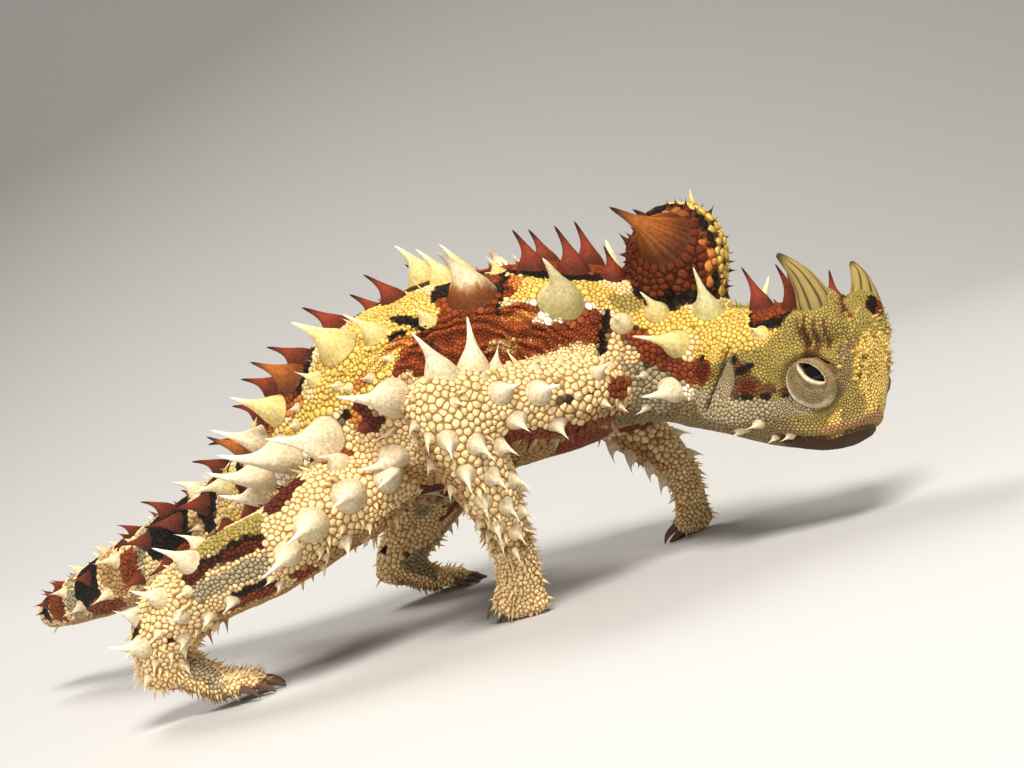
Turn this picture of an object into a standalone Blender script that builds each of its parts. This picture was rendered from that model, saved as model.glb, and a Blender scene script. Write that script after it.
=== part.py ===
"""A thorny devil lizard as a still, life-size model. It stands on the floor, with the right
foreleg and the right hind leg swung back and the head turned a little to the right.
All sizes are in millimetres; the last step turns them into metres. +X runs to the head,
+Y to the animal's left, +Z up, and the floor is Z = 0."""

import math
import random

import bmesh
import bpy
from mathutils import Matrix, Vector
from mathutils.bvhtree import BVHTree

MODEL_NAME = "thorny_devil"
METRES = 0.001
GAP = 0.3
SEED = 41

# Trunk from the back of the head to the tip of the tail: x, y, top, bottom, half width
TRUNK = (
    (25.5, -3.9, 27.9, 13.6, 7.3),
    (21.5, -2.2, 29.8, 14.5, 7.5),
    (17.0, -0.8, 32.6, 15.6, 8.8),
    (12.5, 0.0, 35.6, 15.8, 11.2),
    (7.0, 0.3, 38.0, 15.2, 14.2),
    (0.0, 0.0, 39.5, 15.4, 16.2),
    (-8.0, 0.0, 40.0, 15.4, 16.8),
    (-16.0, 0.8, 38.6, 15.5, 15.6),
    (-22.5, 2.0, 35.8, 15.4, 13.2),
    (-28.5, 4.0, 32.0, 15.2, 10.8),
    (-35.0, 6.6, 28.2, 14.6, 8.2),
    (-43.0, 10.0, 25.4, 13.5, 6.6),
    (-52.0, 14.0, 23.2, 12.4, 5.8),
    (-62.0, 18.6, 21.0, 11.0, 5.1),
    (-72.0, 23.6, 18.6, 9.9, 4.4),
    (-81.0, 28.6, 16.4, 9.5, 3.4),
    (-88.0, 33.0, 14.2, 9.6, 2.2),
)
TRUNK_SIDES = 16
TRUNK_SQUARE = 2.25
TRUNK_LENGTH = 124.0

# Where the trunk is parted, in shares of the way along its stations
TRUNK_NODES = (
    ("neck", 0.0, 0.175, 5),
    ("chest", 0.175, 0.365, 6),
    ("abdomen", 0.365, 0.6, 7),
    ("tail_base", 0.6, 0.74, 5),
    ("tail_middle", 0.74, 0.87, 5),
    ("tail_tip", 0.87, 1.0, 5),
)

# Head, in its own frame: origin at the joint with the neck, +X to the snout
HEAD_PLACE = (25.0, -3.0, 19.0)
HEAD_YAW = -28.0
HEAD_PITCH = 14.0
HEAD_ROLL = -14.0
# Stations from the snout back: x, y, top, bottom, half width
HEAD = (
    (20.2, 0.0, 2.0, -4.6, 2.2),
    (19.6, 0.0, 4.6, -5.9, 3.5),
    (18.2, 0.0, 7.0, -7.0, 4.8),
    (15.8, 0.0, 8.5, -7.9, 6.1),
    (13.0, 0.0, 9.0, -8.1, 7.2),
    (9.0, 0.0, 8.6, -7.8, 8.1),
    (5.0, 0.0, 8.3, -7.2, 8.4),
    (1.0, 0.0, 8.2, -6.7, 8.0),
    (-4.0, 0.0, 8.0, -6.2, 7.3),
)
HEAD_SIDES = 20
HEAD_SQUARE = 2.5
HEAD_RINGS = 13
MOUTH_CORNER = (11.4, -6.4)
MOUTH_SLOPE = 0.18
MOUTH_AHEAD = 16.0
MOUTH_ROOM = 14.0
EYE_PLACE = (15.9, 5.0, 0.35)
EYE_RADIUS = 2.2
TURRET_RADII = (3.0, 2.0, 2.8)
LID_OPENING = (1.75, 0.95)
LID_REACH = 3.0
LID_OUT = 1.35
LID_TILT = -28.0
NOSTRIL_PLACE = (20.3, 2.5, 2.4)
NOSTRIL_RADIUS = 0.45
EAR_PLACE = (6.1, 9.2, -0.2)
EAR_RADII = (1.3, 1.6, 2.4)
HORN_PATH = ((15.2, 4.8, 6.0), (15.0, 5.4, 8.6), (13.8, 6.5, 11.2), (11.8, 7.8, 13.3))
HORN_RADII = (2.2, 1.85, 1.1, 0.25)
HORN_BOSS_RADII = (3.3, 2.8, 2.3)
HORN_RINGS = 8
HORN_SIDES = 10

# Fatty knob on the nape: z, x, y, half length, half width
KNOB = (
    (27.2, 23.6, -2.4, 4.4, 4.0),
    (29.6, 23.8, -2.2, 5.2, 4.7),
    (33.6, 24.0, -1.8, 6.2, 5.6),
    (37.2, 23.6, -1.6, 5.2, 4.7),
    (39.3, 23.2, -1.5, 2.6, 2.4),
)
KNOB_RINGS = 7
KNOB_SIDES = 14

# Limbs: upper and lower lengths as x, y, z, half width, half height
RIGHT_UPPER_ARM = (
    (13.0, -6.0, 21.8, 3.2, 3.2),
    (9.8, -11.6, 22.4, 4.8, 4.6),
    (3.5, -17.5, 24.0, 4.3, 4.3),
    (-1.0, -20.5, 25.4, 4.2, 4.4),
    (-4.5, -22.0, 26.2, 3.4, 3.6),
)
RIGHT_FOREARM = (
    (-4.0, -22.4, 28.6, 3.6, 3.4),
    (-2.4, -21.6, 25.0, 4.7, 4.4),
    (-1.8, -20.2, 20.5, 4.8, 4.2),
    (-1.4, -18.6, 16.0, 4.2, 3.7),
    (-1.3, -17.2, 11.8, 3.3, 2.9),
    (-1.4, -16.2, 8.4, 2.9, 2.5),
)
RIGHT_ELBOW = (-2.6, -21.0, 25.4)
LEFT_UPPER_ARM = (
    (13.0, 5.5, 21.4, 3.4, 3.4),
    (11.5, 11.2, 19.8, 4.6, 4.5),
    (8.8, 15.2, 18.0, 4.0, 4.1),
    (6.4, 17.8, 16.6, 3.6, 3.8),
)
LEFT_FOREARM = (
    (5.2, 19.0, 18.6, 3.2, 3.2),
    (7.6, 18.2, 16.0, 3.9, 3.8),
    (10.2, 17.2, 12.6, 3.6, 3.4),
    (12.6, 15.8, 9.0, 2.9, 2.7),
    (13.9, 14.4, 6.0, 2.5, 2.2),
)
LEFT_ELBOW = (7.2, 17.6, 17.2)
RIGHT_THIGH = (
    (-13.5, -6.5, 20.6, 4.2, 4.0),
    (-18.0, -11.2, 19.5, 6.2, 5.8),
    (-22.5, -15.4, 17.8, 5.8, 5.4),
    (-26.5, -18.4, 16.2, 5.2, 5.0),
    (-29.5, -19.6, 15.4, 4.4, 4.6),
)
RIGHT_SHANK = (
    (-24.0, -18.6, 16.6, 4.0, 4.4),
    (-28.5, -19.2, 15.8, 4.8, 5.1),
    (-34.0, -19.6, 15.0, 4.6, 4.9),
    (-39.0, -19.8, 13.6, 4.2, 4.6),
    (-43.2, -19.6, 11.0, 4.1, 4.2),
    (-45.0, -19.0, 7.6, 3.7, 3.6),
    (-45.2, -18.8, 4.6, 3.2, 3.2),
)
RIGHT_KNEE = (-27.6, -18.8, 15.9)
LEFT_THIGH = (
    (-24.8, 6.0, 20.4, 4.4, 4.2),
    (-22.6, 11.6, 19.3, 6.0, 5.7),
    (-20.2, 16.6, 17.6, 5.2, 5.0),
    (-18.8, 20.4, 16.0, 4.6, 4.6),
)
LEFT_SHANK = (
    (-16.6, 22.4, 16.8, 4.0, 4.0),
    (-19.6, 22.4, 14.4, 4.7, 4.6),
    (-23.4, 22.8, 11.4, 4.2, 4.2),
    (-27.0, 23.2, 8.4, 3.6, 3.6),
    (-29.6, 23.6, 5.8, 3.2, 3.1),
    (-30.8, 23.8, 3.6, 2.8, 2.6),
)
LEFT_KNEE = (-18.9, 20.9, 15.6)
LIMB_SIDES = 12
LIMB_RINGS = 6
FLANK_END = 0.8
FLANK_RINGS = 30

# How far a rounded end stands out, as a share of the length's half thickness
ROUND_END = 0.35

# Feet: wrist or ankle, ball of the foot, where the toes head, across, how they curl
FEET = {
    "hand_right": {
        "root": (-1.4, -16.0, 8.1), "ball": (-2.4, -14.9, 3.4), "reach": (-0.30, 0.10, -0.95),
        "across": (0.95, -0.05, -0.30), "curl": (-0.75, 0.62, -0.12), "wide": 2.9, "thick": 1.7,
        "toes": (3.0, 3.8, 4.2, 3.9, 3.0), "toe": 0.95, "spread": 22.0,
    },
    "hand_left": {
        "root": (13.9, 14.0, 5.4), "ball": (13.7, 13.4, 2.9), "reach": (-0.20, -0.15, -0.95),
        "across": (0.55, 0.80, -0.20), "curl": (-0.80, -0.40, -0.15), "wide": 2.6, "thick": 1.6,
        "toes": (2.6, 3.2, 3.6, 3.4, 2.8), "toe": 0.9, "spread": 26.0,
    },
    "foot_right": {
        "root": (-44.4, -18.8, 6.4), "ball": (-39.8, -17.6, 2.5), "reach": (0.96, 0.20, -0.12),
        "across": (-0.20, 0.98, 0.0), "curl": (0.80, 0.15, -0.50), "wide": 3.3, "thick": 2.0,
        "toes": (3.4, 4.8, 5.6, 5.2, 3.6), "toe": 1.05, "spread": 30.0,
    },
    "foot_left": {
        "root": (-29.8, 23.7, 5.3), "ball": (-25.6, 24.8, 2.1), "reach": (0.95, 0.25, -0.16),
        "across": (-0.25, 0.97, 0.0), "curl": (0.80, 0.20, -0.50), "wide": 3.2, "thick": 1.9,
        "toes": (3.4, 4.6, 5.4, 5.0, 3.6), "toe": 1.05, "spread": 36.0,
    },
}
PALM_RINGS = 5
FOOT_SIDES = 8
TOE_SET = 0.68
TOE_SIDES = 6
CLAW_LENGTH = 2.3
CLAW_RADIUS = 0.5
CLAW_TIP = 0.12
CLAW_ARCH = 0.35
CLAW_FLOOR = 0.15
CLAW_SIDES = 4

# Upper length, lower length, the bend between them, and the lower length's upward side
LIMBS = (
    ("upper_arm_right", RIGHT_UPPER_ARM, "forearm_right", RIGHT_FOREARM, RIGHT_ELBOW, (1, 0, 0)),
    ("upper_arm_left", LEFT_UPPER_ARM, "forearm_left", LEFT_FOREARM, LEFT_ELBOW, (1, 0, 0)),
    ("thigh_right", RIGHT_THIGH, "shank_right", RIGHT_SHANK, RIGHT_KNEE, (0, 0, 1)),
    ("thigh_left", LEFT_THIGH, "shank_left", LEFT_SHANK, LEFT_KNEE, (0, 0, 1)),
)
FOOT_OWNERS = {
    "hand_right": "forearm_right",
    "hand_left": "forearm_left",
    "foot_right": "shank_right",
    "foot_left": "shank_left",
}

# Spines, as share along the tube, angle, length, root radius; those of the trunk are of the
# right side, and the left side has the same rows a little varied
CREST_SPINES = (
    (0.166, 15, 3.8, 1.4), (0.208, 14, 5.6, 1.9), (0.258, 14, 5.0, 1.8), (0.292, 18, 2.4, 1.0),
    (0.338, 14, 5.0, 1.8), (0.376, 20, 4.6, 1.6), (0.428, 20, 5.0, 1.9), (0.474, 22, 4.4, 1.7),
    (0.517, 24, 4.6, 1.7), (0.556, 24, 4.2, 1.6),
)
SHOULDER_SPINES = (
    (0.082, 40, 3.4, 1.4), (0.125, 60, 2.6, 1.3), (0.210, 51, 6.4, 2.6), (0.308, 40, 6.0, 2.7),
    (0.343, 52, 2.6, 1.1), (0.382, 50, 4.4, 1.6), (0.414, 48, 5.8, 2.5), (0.440, 60, 2.6, 1.1),
    (0.467, 48, 5.2, 2.0), (0.493, 62, 5.6, 2.0), (0.530, 70, 6.0, 1.9), (0.566, 62, 5.4, 1.8),
)
FLANK_SPINES = (
    (0.030, 66, 5.0, 1.6), (0.058, 100, 4.8, 1.6), (0.150, 96, 2.0, 0.9), (0.378, 88, 6.6, 2.3),
    (0.398, 116, 4.4, 1.8), (0.447, 92, 7.0, 2.5), (0.502, 90, 8.2, 2.5), (0.549, 90, 7.0, 2.2),
    (0.585, 98, 5.0, 1.7),
)
FLANK_LEAN = 52.0
FLANK_AIM = (-0.92, 0.0, 0.42)
SHOULDER_LEAN = 32.0
SHOULDER_AIM = (-0.80, 0.0, 0.55)
NECK_SHARE = 0.16
CREST_LEAN = 28.0
TAIL_STARTS = 0.615
TAIL_ENDS = 0.985
TAIL_RINGS = 8
TAIL_ANGLES = (24, 66, 106)
TAIL_LENGTH = (5.0, 2.2)
TAIL_ROOT = (1.6, 0.9)
TAIL_LEAN = 44.0
SIDE_WANDER = 0.006
SIZE_WANDER = 0.12

# On the head and the limbs a fifth number is the lean, below nought towards the body
HEAD_SPINES = (
    (0.88, 34, 5.6, 1.7, 2.0), (0.70, 20, 5.0, 1.4, 22.0), (0.56, 25, 5.0, 1.5, 16.0),
    (0.62, 62, 1.6, 0.9, 40.0), (0.60, 128, 1.6, 0.7, 50.0), (0.66, 134, 1.8, 0.8, 50.0),
    (0.50, 140, 1.3, 0.6, 40.0), (0.56, 144, 1.1, 0.5, 40.0),
)
KNOB_SPINES = ((0.68, 92, 6.6, 3.1), (0.68, -92, 6.6, 3.1))
KNOB_LEAN = 54.0
KNOB_AIM = (-0.85, 0.0, 0.85)

UPPER_ARM_SPINES = (
    (0.24, 66, 2.6, 1.0, -20), (0.44, 82, 3.0, 1.5, -28), (0.58, 75, 2.8, 1.4, -28),
    (0.52, 122, 3.0, 1.2, -10), (0.38, 138, 2.4, 1.1, -10), (0.84, 22, 5.4, 1.9, 20),
    (0.66, 6, 5.4, 1.8, 8), (0.55, 12, 2.6, 0.9, -8),
)
FOREARM_ANGLES = (-14, -50, -86, 158)
FOREARM_SHARES = (0.30, 0.47, 0.64, 0.81)
FOREARM_LENGTH = (2.9, 2.1)
FOREARM_ROOT = (1.2, 0.95)
FOREARM_LEAN = 42.0
THIGH_SPINES = (
    (0.22, 88, 4.6, 1.9, 55), (0.41, 80, 4.8, 2.0, 50), (0.62, 82, 5.8, 2.0, 50),
    (0.78, 98, 4.6, 1.6, 50), (0.52, 132, 2.6, 1.0, 30), (0.34, 36, 3.2, 1.3, 40),
)
SHANK_SPINES = (
    (0.39, 45, 4.4, 1.5, 44), (0.54, 62, 3.4, 1.3, 44), (0.66, 40, 3.0, 1.2, 40),
    (0.72, 88, 3.6, 1.4, 40), (0.52, 108, 2.4, 1.0, 36), (0.32, 130, 2.2, 0.9, 30),
    (0.44, 136, 2.2, 0.9, 30), (0.60, 140, 2.2, 0.9, 30), (0.36, 10, 3.0, 1.1, 40),
)
SHANK_AIM = (-0.85, 0.0, 0.50)

# A spine's root is sunk in the flesh, its sides draw in at a knee, and the rest is its point
SPINE_SINK = 0.8
SPINE_KNEE = 0.34
SPINE_KNEE_WIDTH = 0.42
SPINE_ROOT_LARGE = 1.8
SPINE_ROOT_SMALL = 1.25
SPINE_CROWDING = 0.8
CUT_MARGIN = 0.35
ROOT_ON_ONE_NODE = 0.85
ROOT_CORNERS = 6
ROOT_ROOM = 0.15

# Plain colours of the nodes, and how rough they are
COLOURS = {
    "yellow": (0.62, 0.50, 0.20, 1.0),
    "rust": (0.28, 0.09, 0.04, 1.0),
    "cream": (0.62, 0.52, 0.38, 1.0),
    "olive": (0.36, 0.30, 0.17, 1.0),
    "eye": (0.008, 0.007, 0.006, 1.0),
    "horn": (0.55, 0.42, 0.18, 1.0),
}
NODE_COLOURS = {
    "head": "olive", "lower_jaw": "olive", "neck": "yellow", "nuchal_knob": "rust",
    "chest": "rust", "abdomen": "yellow", "tail_base": "rust", "tail_middle": "cream",
    "tail_tip": "rust", "eye": "eye", "horn": "horn",
}
SKIN_ROUGHNESS = 0.72
EYE_ROUGHNESS = 0.08


def remove_everything():
    for item in list(bpy.data.objects):
        bpy.data.objects.remove(item, do_unlink=True)


def curve_value(points, t):
    """A smooth value at share t (0 to 1) along a list of tuples."""
    last = len(points) - 1
    place = min(max(t, 0.0), 1.0) * last
    i = min(int(place), last - 1)
    u = place - i
    before = points[max(i - 1, 0)]
    after = points[min(i + 2, last)]
    out = []
    for p, q, r, s in zip(before, points[i], points[i + 1], after):
        out.append(0.5 * (2 * q + (r - p) * u + (2 * p - 5 * q + 4 * r - s) * u * u
                          + (3 * q - p - 3 * r + s) * u ** 3))
    return tuple(out)


class Tube:
    """A length of body with a smooth middle line and a rounded section.

    Each station is (x, y, z, half width, half height). Angle 0 is the top, and angles grow
    towards the animal's right where the tube runs from head to tail."""

    def __init__(self, stations, up=(0, 0, 1), square=2.0, place=None, straight=False):
        self.stations = stations
        self.straight = straight
        self.up = Vector(up)
        self.square = square
        self.place = place or Matrix.Identity(4)

    def middle(self, t):
        x, y, z, width, height = curve_value(self.stations, t)
        return Vector((x, y, z)), width, height

    def frame(self, t):
        step = 0.004
        before = self.middle(0.0 if self.straight else max(t - step, 0.0))[0]
        after = self.middle(1.0 if self.straight else min(t + step, 1.0))[0]
        along = (after - before).normalized()
        side = along.cross(self.up).normalized()
        return along, side, side.cross(along).normalized()

    def local_point(self, t, angle, grow=0.0):
        centre, width, height = self.middle(t)
        along, side, above = self.frame(t)
        power = 2.0 / self.square
        across = math.copysign(abs(math.sin(angle)) ** power, math.sin(angle))
        rise = math.copysign(abs(math.cos(angle)) ** power, math.cos(angle))
        return centre - side * across * (width + grow) + above * rise * (height + grow)

    def point(self, t, angle, grow=0.0):
        return self.place @ self.local_point(t, angle, grow)

    def along(self, t):
        return (self.place.to_3x3() @ self.frame(t)[0]).normalized()

    def centre(self, t):
        return self.place @ self.middle(t)[0]

    def normal(self, t, angle):
        round_it = self.point(t, angle + 0.03) - self.point(t, angle - 0.03)
        down_it = self.point(min(t + 0.01, 1.0), angle) - self.point(max(t - 0.01, 0.0), angle)
        outward = down_it.cross(round_it).normalized()
        if outward.dot(self.point(t, angle) - self.centre(t)) < 0:
            outward = -outward
        return outward


def from_heights(rows):
    """Stations from rows of x, y, top, bottom, half width."""
    return [(x, y, (top + low) / 2, wide, (top - low) / 2) for x, y, top, low, wide in rows]


def mesh_object(name, verts, faces):
    mesh = bpy.data.meshes.new(name)
    mesh.from_pydata([tuple(v) for v in verts], [], faces)
    shape = bmesh.new()
    shape.from_mesh(mesh)
    bmesh.ops.recalc_face_normals(shape, faces=shape.faces)
    bmesh.ops.triangulate(shape, faces=shape.faces)
    shape.to_mesh(mesh)
    shape.free()
    item = bpy.data.objects.new(name, mesh)
    bpy.context.scene.collection.objects.link(item)
    return item


def loft(name, tube, start, end, rings, sides, grow=0.0, round_ends=False):
    """A closed body along a tube from one share of its length to another."""
    verts = []
    for i in range(rings + 1):
        t = start + (end - start) * i / rings
        for k in range(sides):
            verts.append(tube.point(t, 2 * math.pi * k / sides, grow))
    faces = []
    for i in range(rings):
        for k in range(sides):
            a = i * sides + k
            b = i * sides + (k + 1) % sides
            faces.append((a, b, b + sides, a + sides))
    for ring, t in ((0, start), (rings, end)):
        reach = 0.0
        if round_ends:
            reach = ROUND_END * min(tube.middle(t)[1:]) * (-1 if ring == 0 else 1)
        tip = len(verts)
        verts.append(tube.centre(t) + tube.along(t) * reach)
        for k in range(sides):
            faces.append((tip, ring * sides + k, ring * sides + (k + 1) % sides))
    return mesh_object(name, verts, faces)


def ball(name, centre, radii, place=None, turn=0.0, detail=2):
    """An ellipsoid, turned about its Y axis before it is placed."""
    shape = bmesh.new()
    bmesh.ops.create_icosphere(shape, subdivisions=detail, radius=1.0)
    mesh = bpy.data.meshes.new(name)
    shape.to_mesh(mesh)
    shape.free()
    turned = Matrix.Rotation(math.radians(turn), 4, "Y")
    sized = Matrix.Diagonal((*radii, 1.0))
    mesh.transform((place or Matrix.Identity(4)) @ Matrix.Translation(centre) @ turned @ sized)
    item = bpy.data.objects.new(name, mesh)
    bpy.context.scene.collection.objects.link(item)
    return item


def block(name, low, high, place=None):
    shape = bmesh.new()
    bmesh.ops.create_cube(shape, size=1.0)
    mesh = bpy.data.meshes.new(name)
    shape.to_mesh(mesh)
    shape.free()
    centre = (Vector(low) + Vector(high)) / 2
    size = Vector(high) - Vector(low)
    sized = Matrix.Diagonal((*size, 1.0))
    mesh.transform((place or Matrix.Identity(4)) @ Matrix.Translation(centre) @ sized)
    item = bpy.data.objects.new(name, mesh)
    bpy.context.scene.collection.objects.link(item)
    return item


def drop(item):
    mesh = item.data
    bpy.data.objects.remove(item, do_unlink=True)
    bpy.data.meshes.remove(mesh)


def apply_modifiers(item):
    bpy.context.view_layer.update()
    ready = item.evaluated_get(bpy.context.evaluated_depsgraph_get())
    mesh = bpy.data.meshes.new_from_object(ready)
    old = item.data
    item.modifiers.clear()
    item.data = mesh
    bpy.data.meshes.remove(old)
    keep_largest(item)


def keep_largest(item):
    """Drop all but the largest closed surface of a mesh."""
    shape = bmesh.new()
    shape.from_mesh(item.data)
    left = set(shape.faces)
    groups = []
    while left:
        first = left.pop()
        group = {first}
        reach = [first]
        while reach:
            face = reach.pop()
            for edge in face.edges:
                for other in edge.link_faces:
                    if other in left:
                        left.remove(other)
                        group.add(other)
                        reach.append(other)
        groups.append(group)
    if len(groups) > 1:
        def room(group):
            spots = [v.co for face in group for v in face.verts]
            size = [max(s[i] for s in spots) - min(s[i] for s in spots) for i in range(3)]
            return size[0] + size[1] + size[2]
        groups.sort(key=room)
        for group in groups[:-1]:
            bmesh.ops.delete(shape, geom=list(group), context="FACES")
    bmesh.ops.triangulate(shape, faces=shape.faces)
    shape.to_mesh(item.data)
    shape.free()


def cut(item, cutter):
    change = item.modifiers.new("cut", "BOOLEAN")
    change.operation = "DIFFERENCE"
    change.object = cutter
    apply_modifiers(item)
    drop(cutter)


def join(item, pieces):
    """One union of a node's pieces, which are then removed."""
    if not pieces:
        return
    group = bpy.data.collections.new("pieces")
    bpy.context.scene.collection.children.link(group)
    for piece in pieces:
        bpy.context.scene.collection.objects.unlink(piece)
        group.objects.link(piece)
    change = item.modifiers.new("join", "BOOLEAN")
    change.operation = "UNION"
    change.operand_type = "COLLECTION"
    change.collection = group
    apply_modifiers(item)
    for piece in pieces:
        drop(piece)
    bpy.data.collections.remove(group)


def clip(item, spot, outward):
    """Cut a closed mesh with a plane and close it, dropping what lies outward."""
    shape = bmesh.new()
    shape.from_mesh(item.data)
    geometry = list(shape.verts) + list(shape.edges) + list(shape.faces)
    result = bmesh.ops.bisect_plane(shape, geom=geometry, dist=1e-5, plane_co=spot,
                                    plane_no=outward, clear_outer=True)
    rim = [e for e in result["geom_cut"] if isinstance(e, bmesh.types.BMEdge)]
    if rim:
        bmesh.ops.edgeloop_fill(shape, edges=rim)
    bmesh.ops.triangulate(shape, faces=shape.faces)
    bmesh.ops.recalc_face_normals(shape, faces=shape.faces)
    shape.to_mesh(item.data)
    shape.free()


def trunk_tube():
    return Tube(from_heights(TRUNK), square=TRUNK_SQUARE)


def head_place():
    turn = (Matrix.Rotation(math.radians(HEAD_YAW), 4, "Z")
            @ Matrix.Rotation(math.radians(HEAD_PITCH), 4, "Y")
            @ Matrix.Rotation(math.radians(HEAD_ROLL), 4, "X"))
    return Matrix.Translation(HEAD_PLACE) @ turn


def head_tube():
    return Tube(from_heights(HEAD), square=HEAD_SQUARE, place=head_place(), straight=True)


def knob_tube():
    rows = [(x, y, z, wide, long) for z, x, y, long, wide in KNOB]
    return Tube(rows, up=(1, 0, 0))


def capsule(name, points, radii, sides):
    """A closed, round-ended length through a few points."""
    rows = [(*p, r, r) for p, r in zip(points, radii)]
    along = Vector(points[-1]) - Vector(points[0])
    up = (0, 0, 1) if abs(along.normalized().z) < 0.8 else (1, 0, 0)
    return loft(name, Tube(rows, up=up), 0.0, 1.0, len(points) - 1, sides, round_ends=True)


def foot(name, shape):
    """A palm with five toes and their claws, on the floor."""
    root = Vector(shape["root"])
    ball_spot = Vector(shape["ball"])
    reach = Vector(shape["reach"]).normalized()
    across = Vector(shape["across"]).normalized()
    curl = Vector(shape["curl"]).normalized()
    wide = shape["wide"]
    thick = shape["thick"]
    rows = (
        (*(root + (root - ball_spot) * 0.25), wide * 0.75, thick * 1.25),
        (*root, wide * 0.85, thick * 1.2),
        (*((root + ball_spot) / 2), wide * 0.95, thick * 1.05),
        (*ball_spot, wide, thick * 0.9),
        (*(ball_spot + reach * 1.2), wide * 0.75, thick * 0.6),
    )
    normal = reach.cross(across)
    palm = loft(name, Tube(rows, up=tuple(normal)), 0.0, 1.0, PALM_RINGS, FOOT_SIDES,
                round_ends=True)
    extra = []
    toes = shape["toes"]
    for i, length in enumerate(toes):
        share = (i - 2) / 2
        angle = math.radians(shape["spread"]) * share
        way = reach * math.cos(angle) + across * math.sin(angle)
        start = ball_spot + across * share * wide * TOE_SET
        thin = shape["toe"]
        knuckle = start + way * length * 0.6
        tip = knuckle + (way * 0.35 + curl * 0.65).normalized() * length * 0.4
        knuckle.z = max(knuckle.z, thin * 0.8)
        tip.z = max(tip.z, thin * 0.62)
        points = (start - way * 0.6, start + way * 0.5, knuckle, tip)
        extra.append(capsule("toe", points, (thin, thin * 1.05, thin, thin * 0.7), TOE_SIDES))
        point = (tip - knuckle).normalized()
        claw_end = tip + point * CLAW_LENGTH
        claw_end.z = max(claw_end.z, CLAW_FLOOR)
        middle = (tip + claw_end) / 2 + Vector((0, 0, CLAW_ARCH))
        extra.append(capsule("claw", (tip - point * 0.5, middle, claw_end),
                             (CLAW_RADIUS, CLAW_RADIUS * 0.7, CLAW_TIP), CLAW_SIDES))
    return palm, extra


def hinge_plane(spot, above, below):
    """The plane at a bend that halves the angle; its normal heads up the limb."""
    spot = Vector(spot)
    up_limb = (Vector(above) - spot).normalized()
    down_limb = (Vector(below) - spot).normalized()
    return spot, (up_limb - down_limb).normalized()


def part_at(plane, upper, lower):
    """Part two lengths of a limb at a bend, a gap apart."""
    spot, normal = plane
    clip(upper, spot + normal * GAP / 2, -normal)
    clip(lower, spot - normal * GAP / 2, normal)


def mirror_side(value, left):
    return -value if left else value


def grown(name, tube, start, end, rings, sides):
    """The space of a length of body and the gap about it, used as a cutter."""
    return loft(name, tube, start, end, rings, sides, grow=GAP)


def build_trunk(nodes):
    trunk = trunk_tube()
    share = GAP / 2 / TRUNK_LENGTH
    for name, start, end, rings in TRUNK_NODES:
        first = start if start == 0.0 else start + share
        last = end if end == 1.0 else end - share
        nodes[name] = loft(name, trunk, first, last, rings, TRUNK_SIDES)
    return trunk


def build_head(nodes, trunk):
    head = head_tube()
    place = head.place
    core = loft("head", head, 0.0, 1.0, HEAD_RINGS, HEAD_SIDES, round_ends=True)
    clip(core, trunk.centre(0.0) - trunk.along(0.0) * GAP, trunk.along(0.0))
    extra = []
    for left in (False, True):
        x, y, z = EYE_PLACE
        y = mirror_side(-y, left)
        extra.append(ball("turret", (x, y, z), TURRET_RADII, place))
        x, y, z = HORN_PATH[0]
        extra.append(ball("boss", (x, mirror_side(-y, left), z), HORN_BOSS_RADII, place))
    join(core, extra)
    for left in (False, True):
        side = "left" if left else "right"
        x, y, z = EYE_PLACE
        y = mirror_side(-y, left)
        hollow = EYE_RADIUS + GAP
        cut(core, ball("socket", (x, y, z), (hollow, hollow, hollow), place))
        wide, high = LID_OPENING
        slit = ball("slit", (x, y * LID_OUT, z), (wide, LID_REACH, high), place, LID_TILT)
        cut(core, slit)
        eye = ball("eye_" + side, (x, y, z), (EYE_RADIUS,) * 3, place)
        nodes[eye.name] = eye
        x, y, z = NOSTRIL_PLACE
        cut(core, ball("nostril", (x, mirror_side(-y, left), z), (NOSTRIL_RADIUS,) * 3, place,
                       detail=1))
        x, y, z = EAR_PLACE
        cut(core, ball("ear", (x, mirror_side(-y, left), z), EAR_RADII, place))
    return head, core


def mouth_block(name, back, rise, place):
    """A wedge of space under the line of the mouth, ahead of its corner."""
    x, z = MOUTH_CORNER
    turn = Matrix.Rotation(-math.atan(MOUTH_SLOPE), 4, "Y")
    local = place @ Matrix.Translation((x, 0.0, z)) @ turn
    return block(name, (back, -MOUTH_ROOM, -MOUTH_ROOM), (MOUTH_AHEAD, MOUTH_ROOM, rise), local)


def part_jaw(nodes, head, core):
    """The lower jaw is what lies under the line of the mouth."""
    jaw = core.copy()
    jaw.data = core.data.copy()
    jaw.name = "lower_jaw"
    bpy.context.scene.collection.objects.link(jaw)
    change = jaw.modifiers.new("under", "BOOLEAN")
    change.operation = "INTERSECT"
    under = mouth_block("under", GAP / 2, -GAP / 2, head.place)
    change.object = under
    apply_modifiers(jaw)
    drop(under)
    cut(core, mouth_block("mouth", -GAP / 2, GAP / 2, head.place))
    nodes["head"] = core
    nodes["lower_jaw"] = jaw


def build_horns(nodes, head, core):
    for left in (False, True):
        name = "horn_left" if left else "horn_right"
        path = [(x, mirror_side(-y, left), z) for x, y, z in HORN_PATH]
        rows = [(*p, r, r) for p, r in zip(path, HORN_RADII)]
        horn = loft(name, Tube(rows, up=(1, 0, 0), place=head.place), 0.0, 1.0, HORN_RINGS,
                    HORN_SIDES, round_ends=True)
        x, y, z = path[0]
        radii = [r + GAP for r in HORN_BOSS_RADII]
        cut(horn, ball("boss", (x, y, z), radii, head.place))
        cut(horn, grown("head", head, 0.0, 1.0, HEAD_RINGS, HEAD_SIDES))
        nodes[name] = horn


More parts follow.
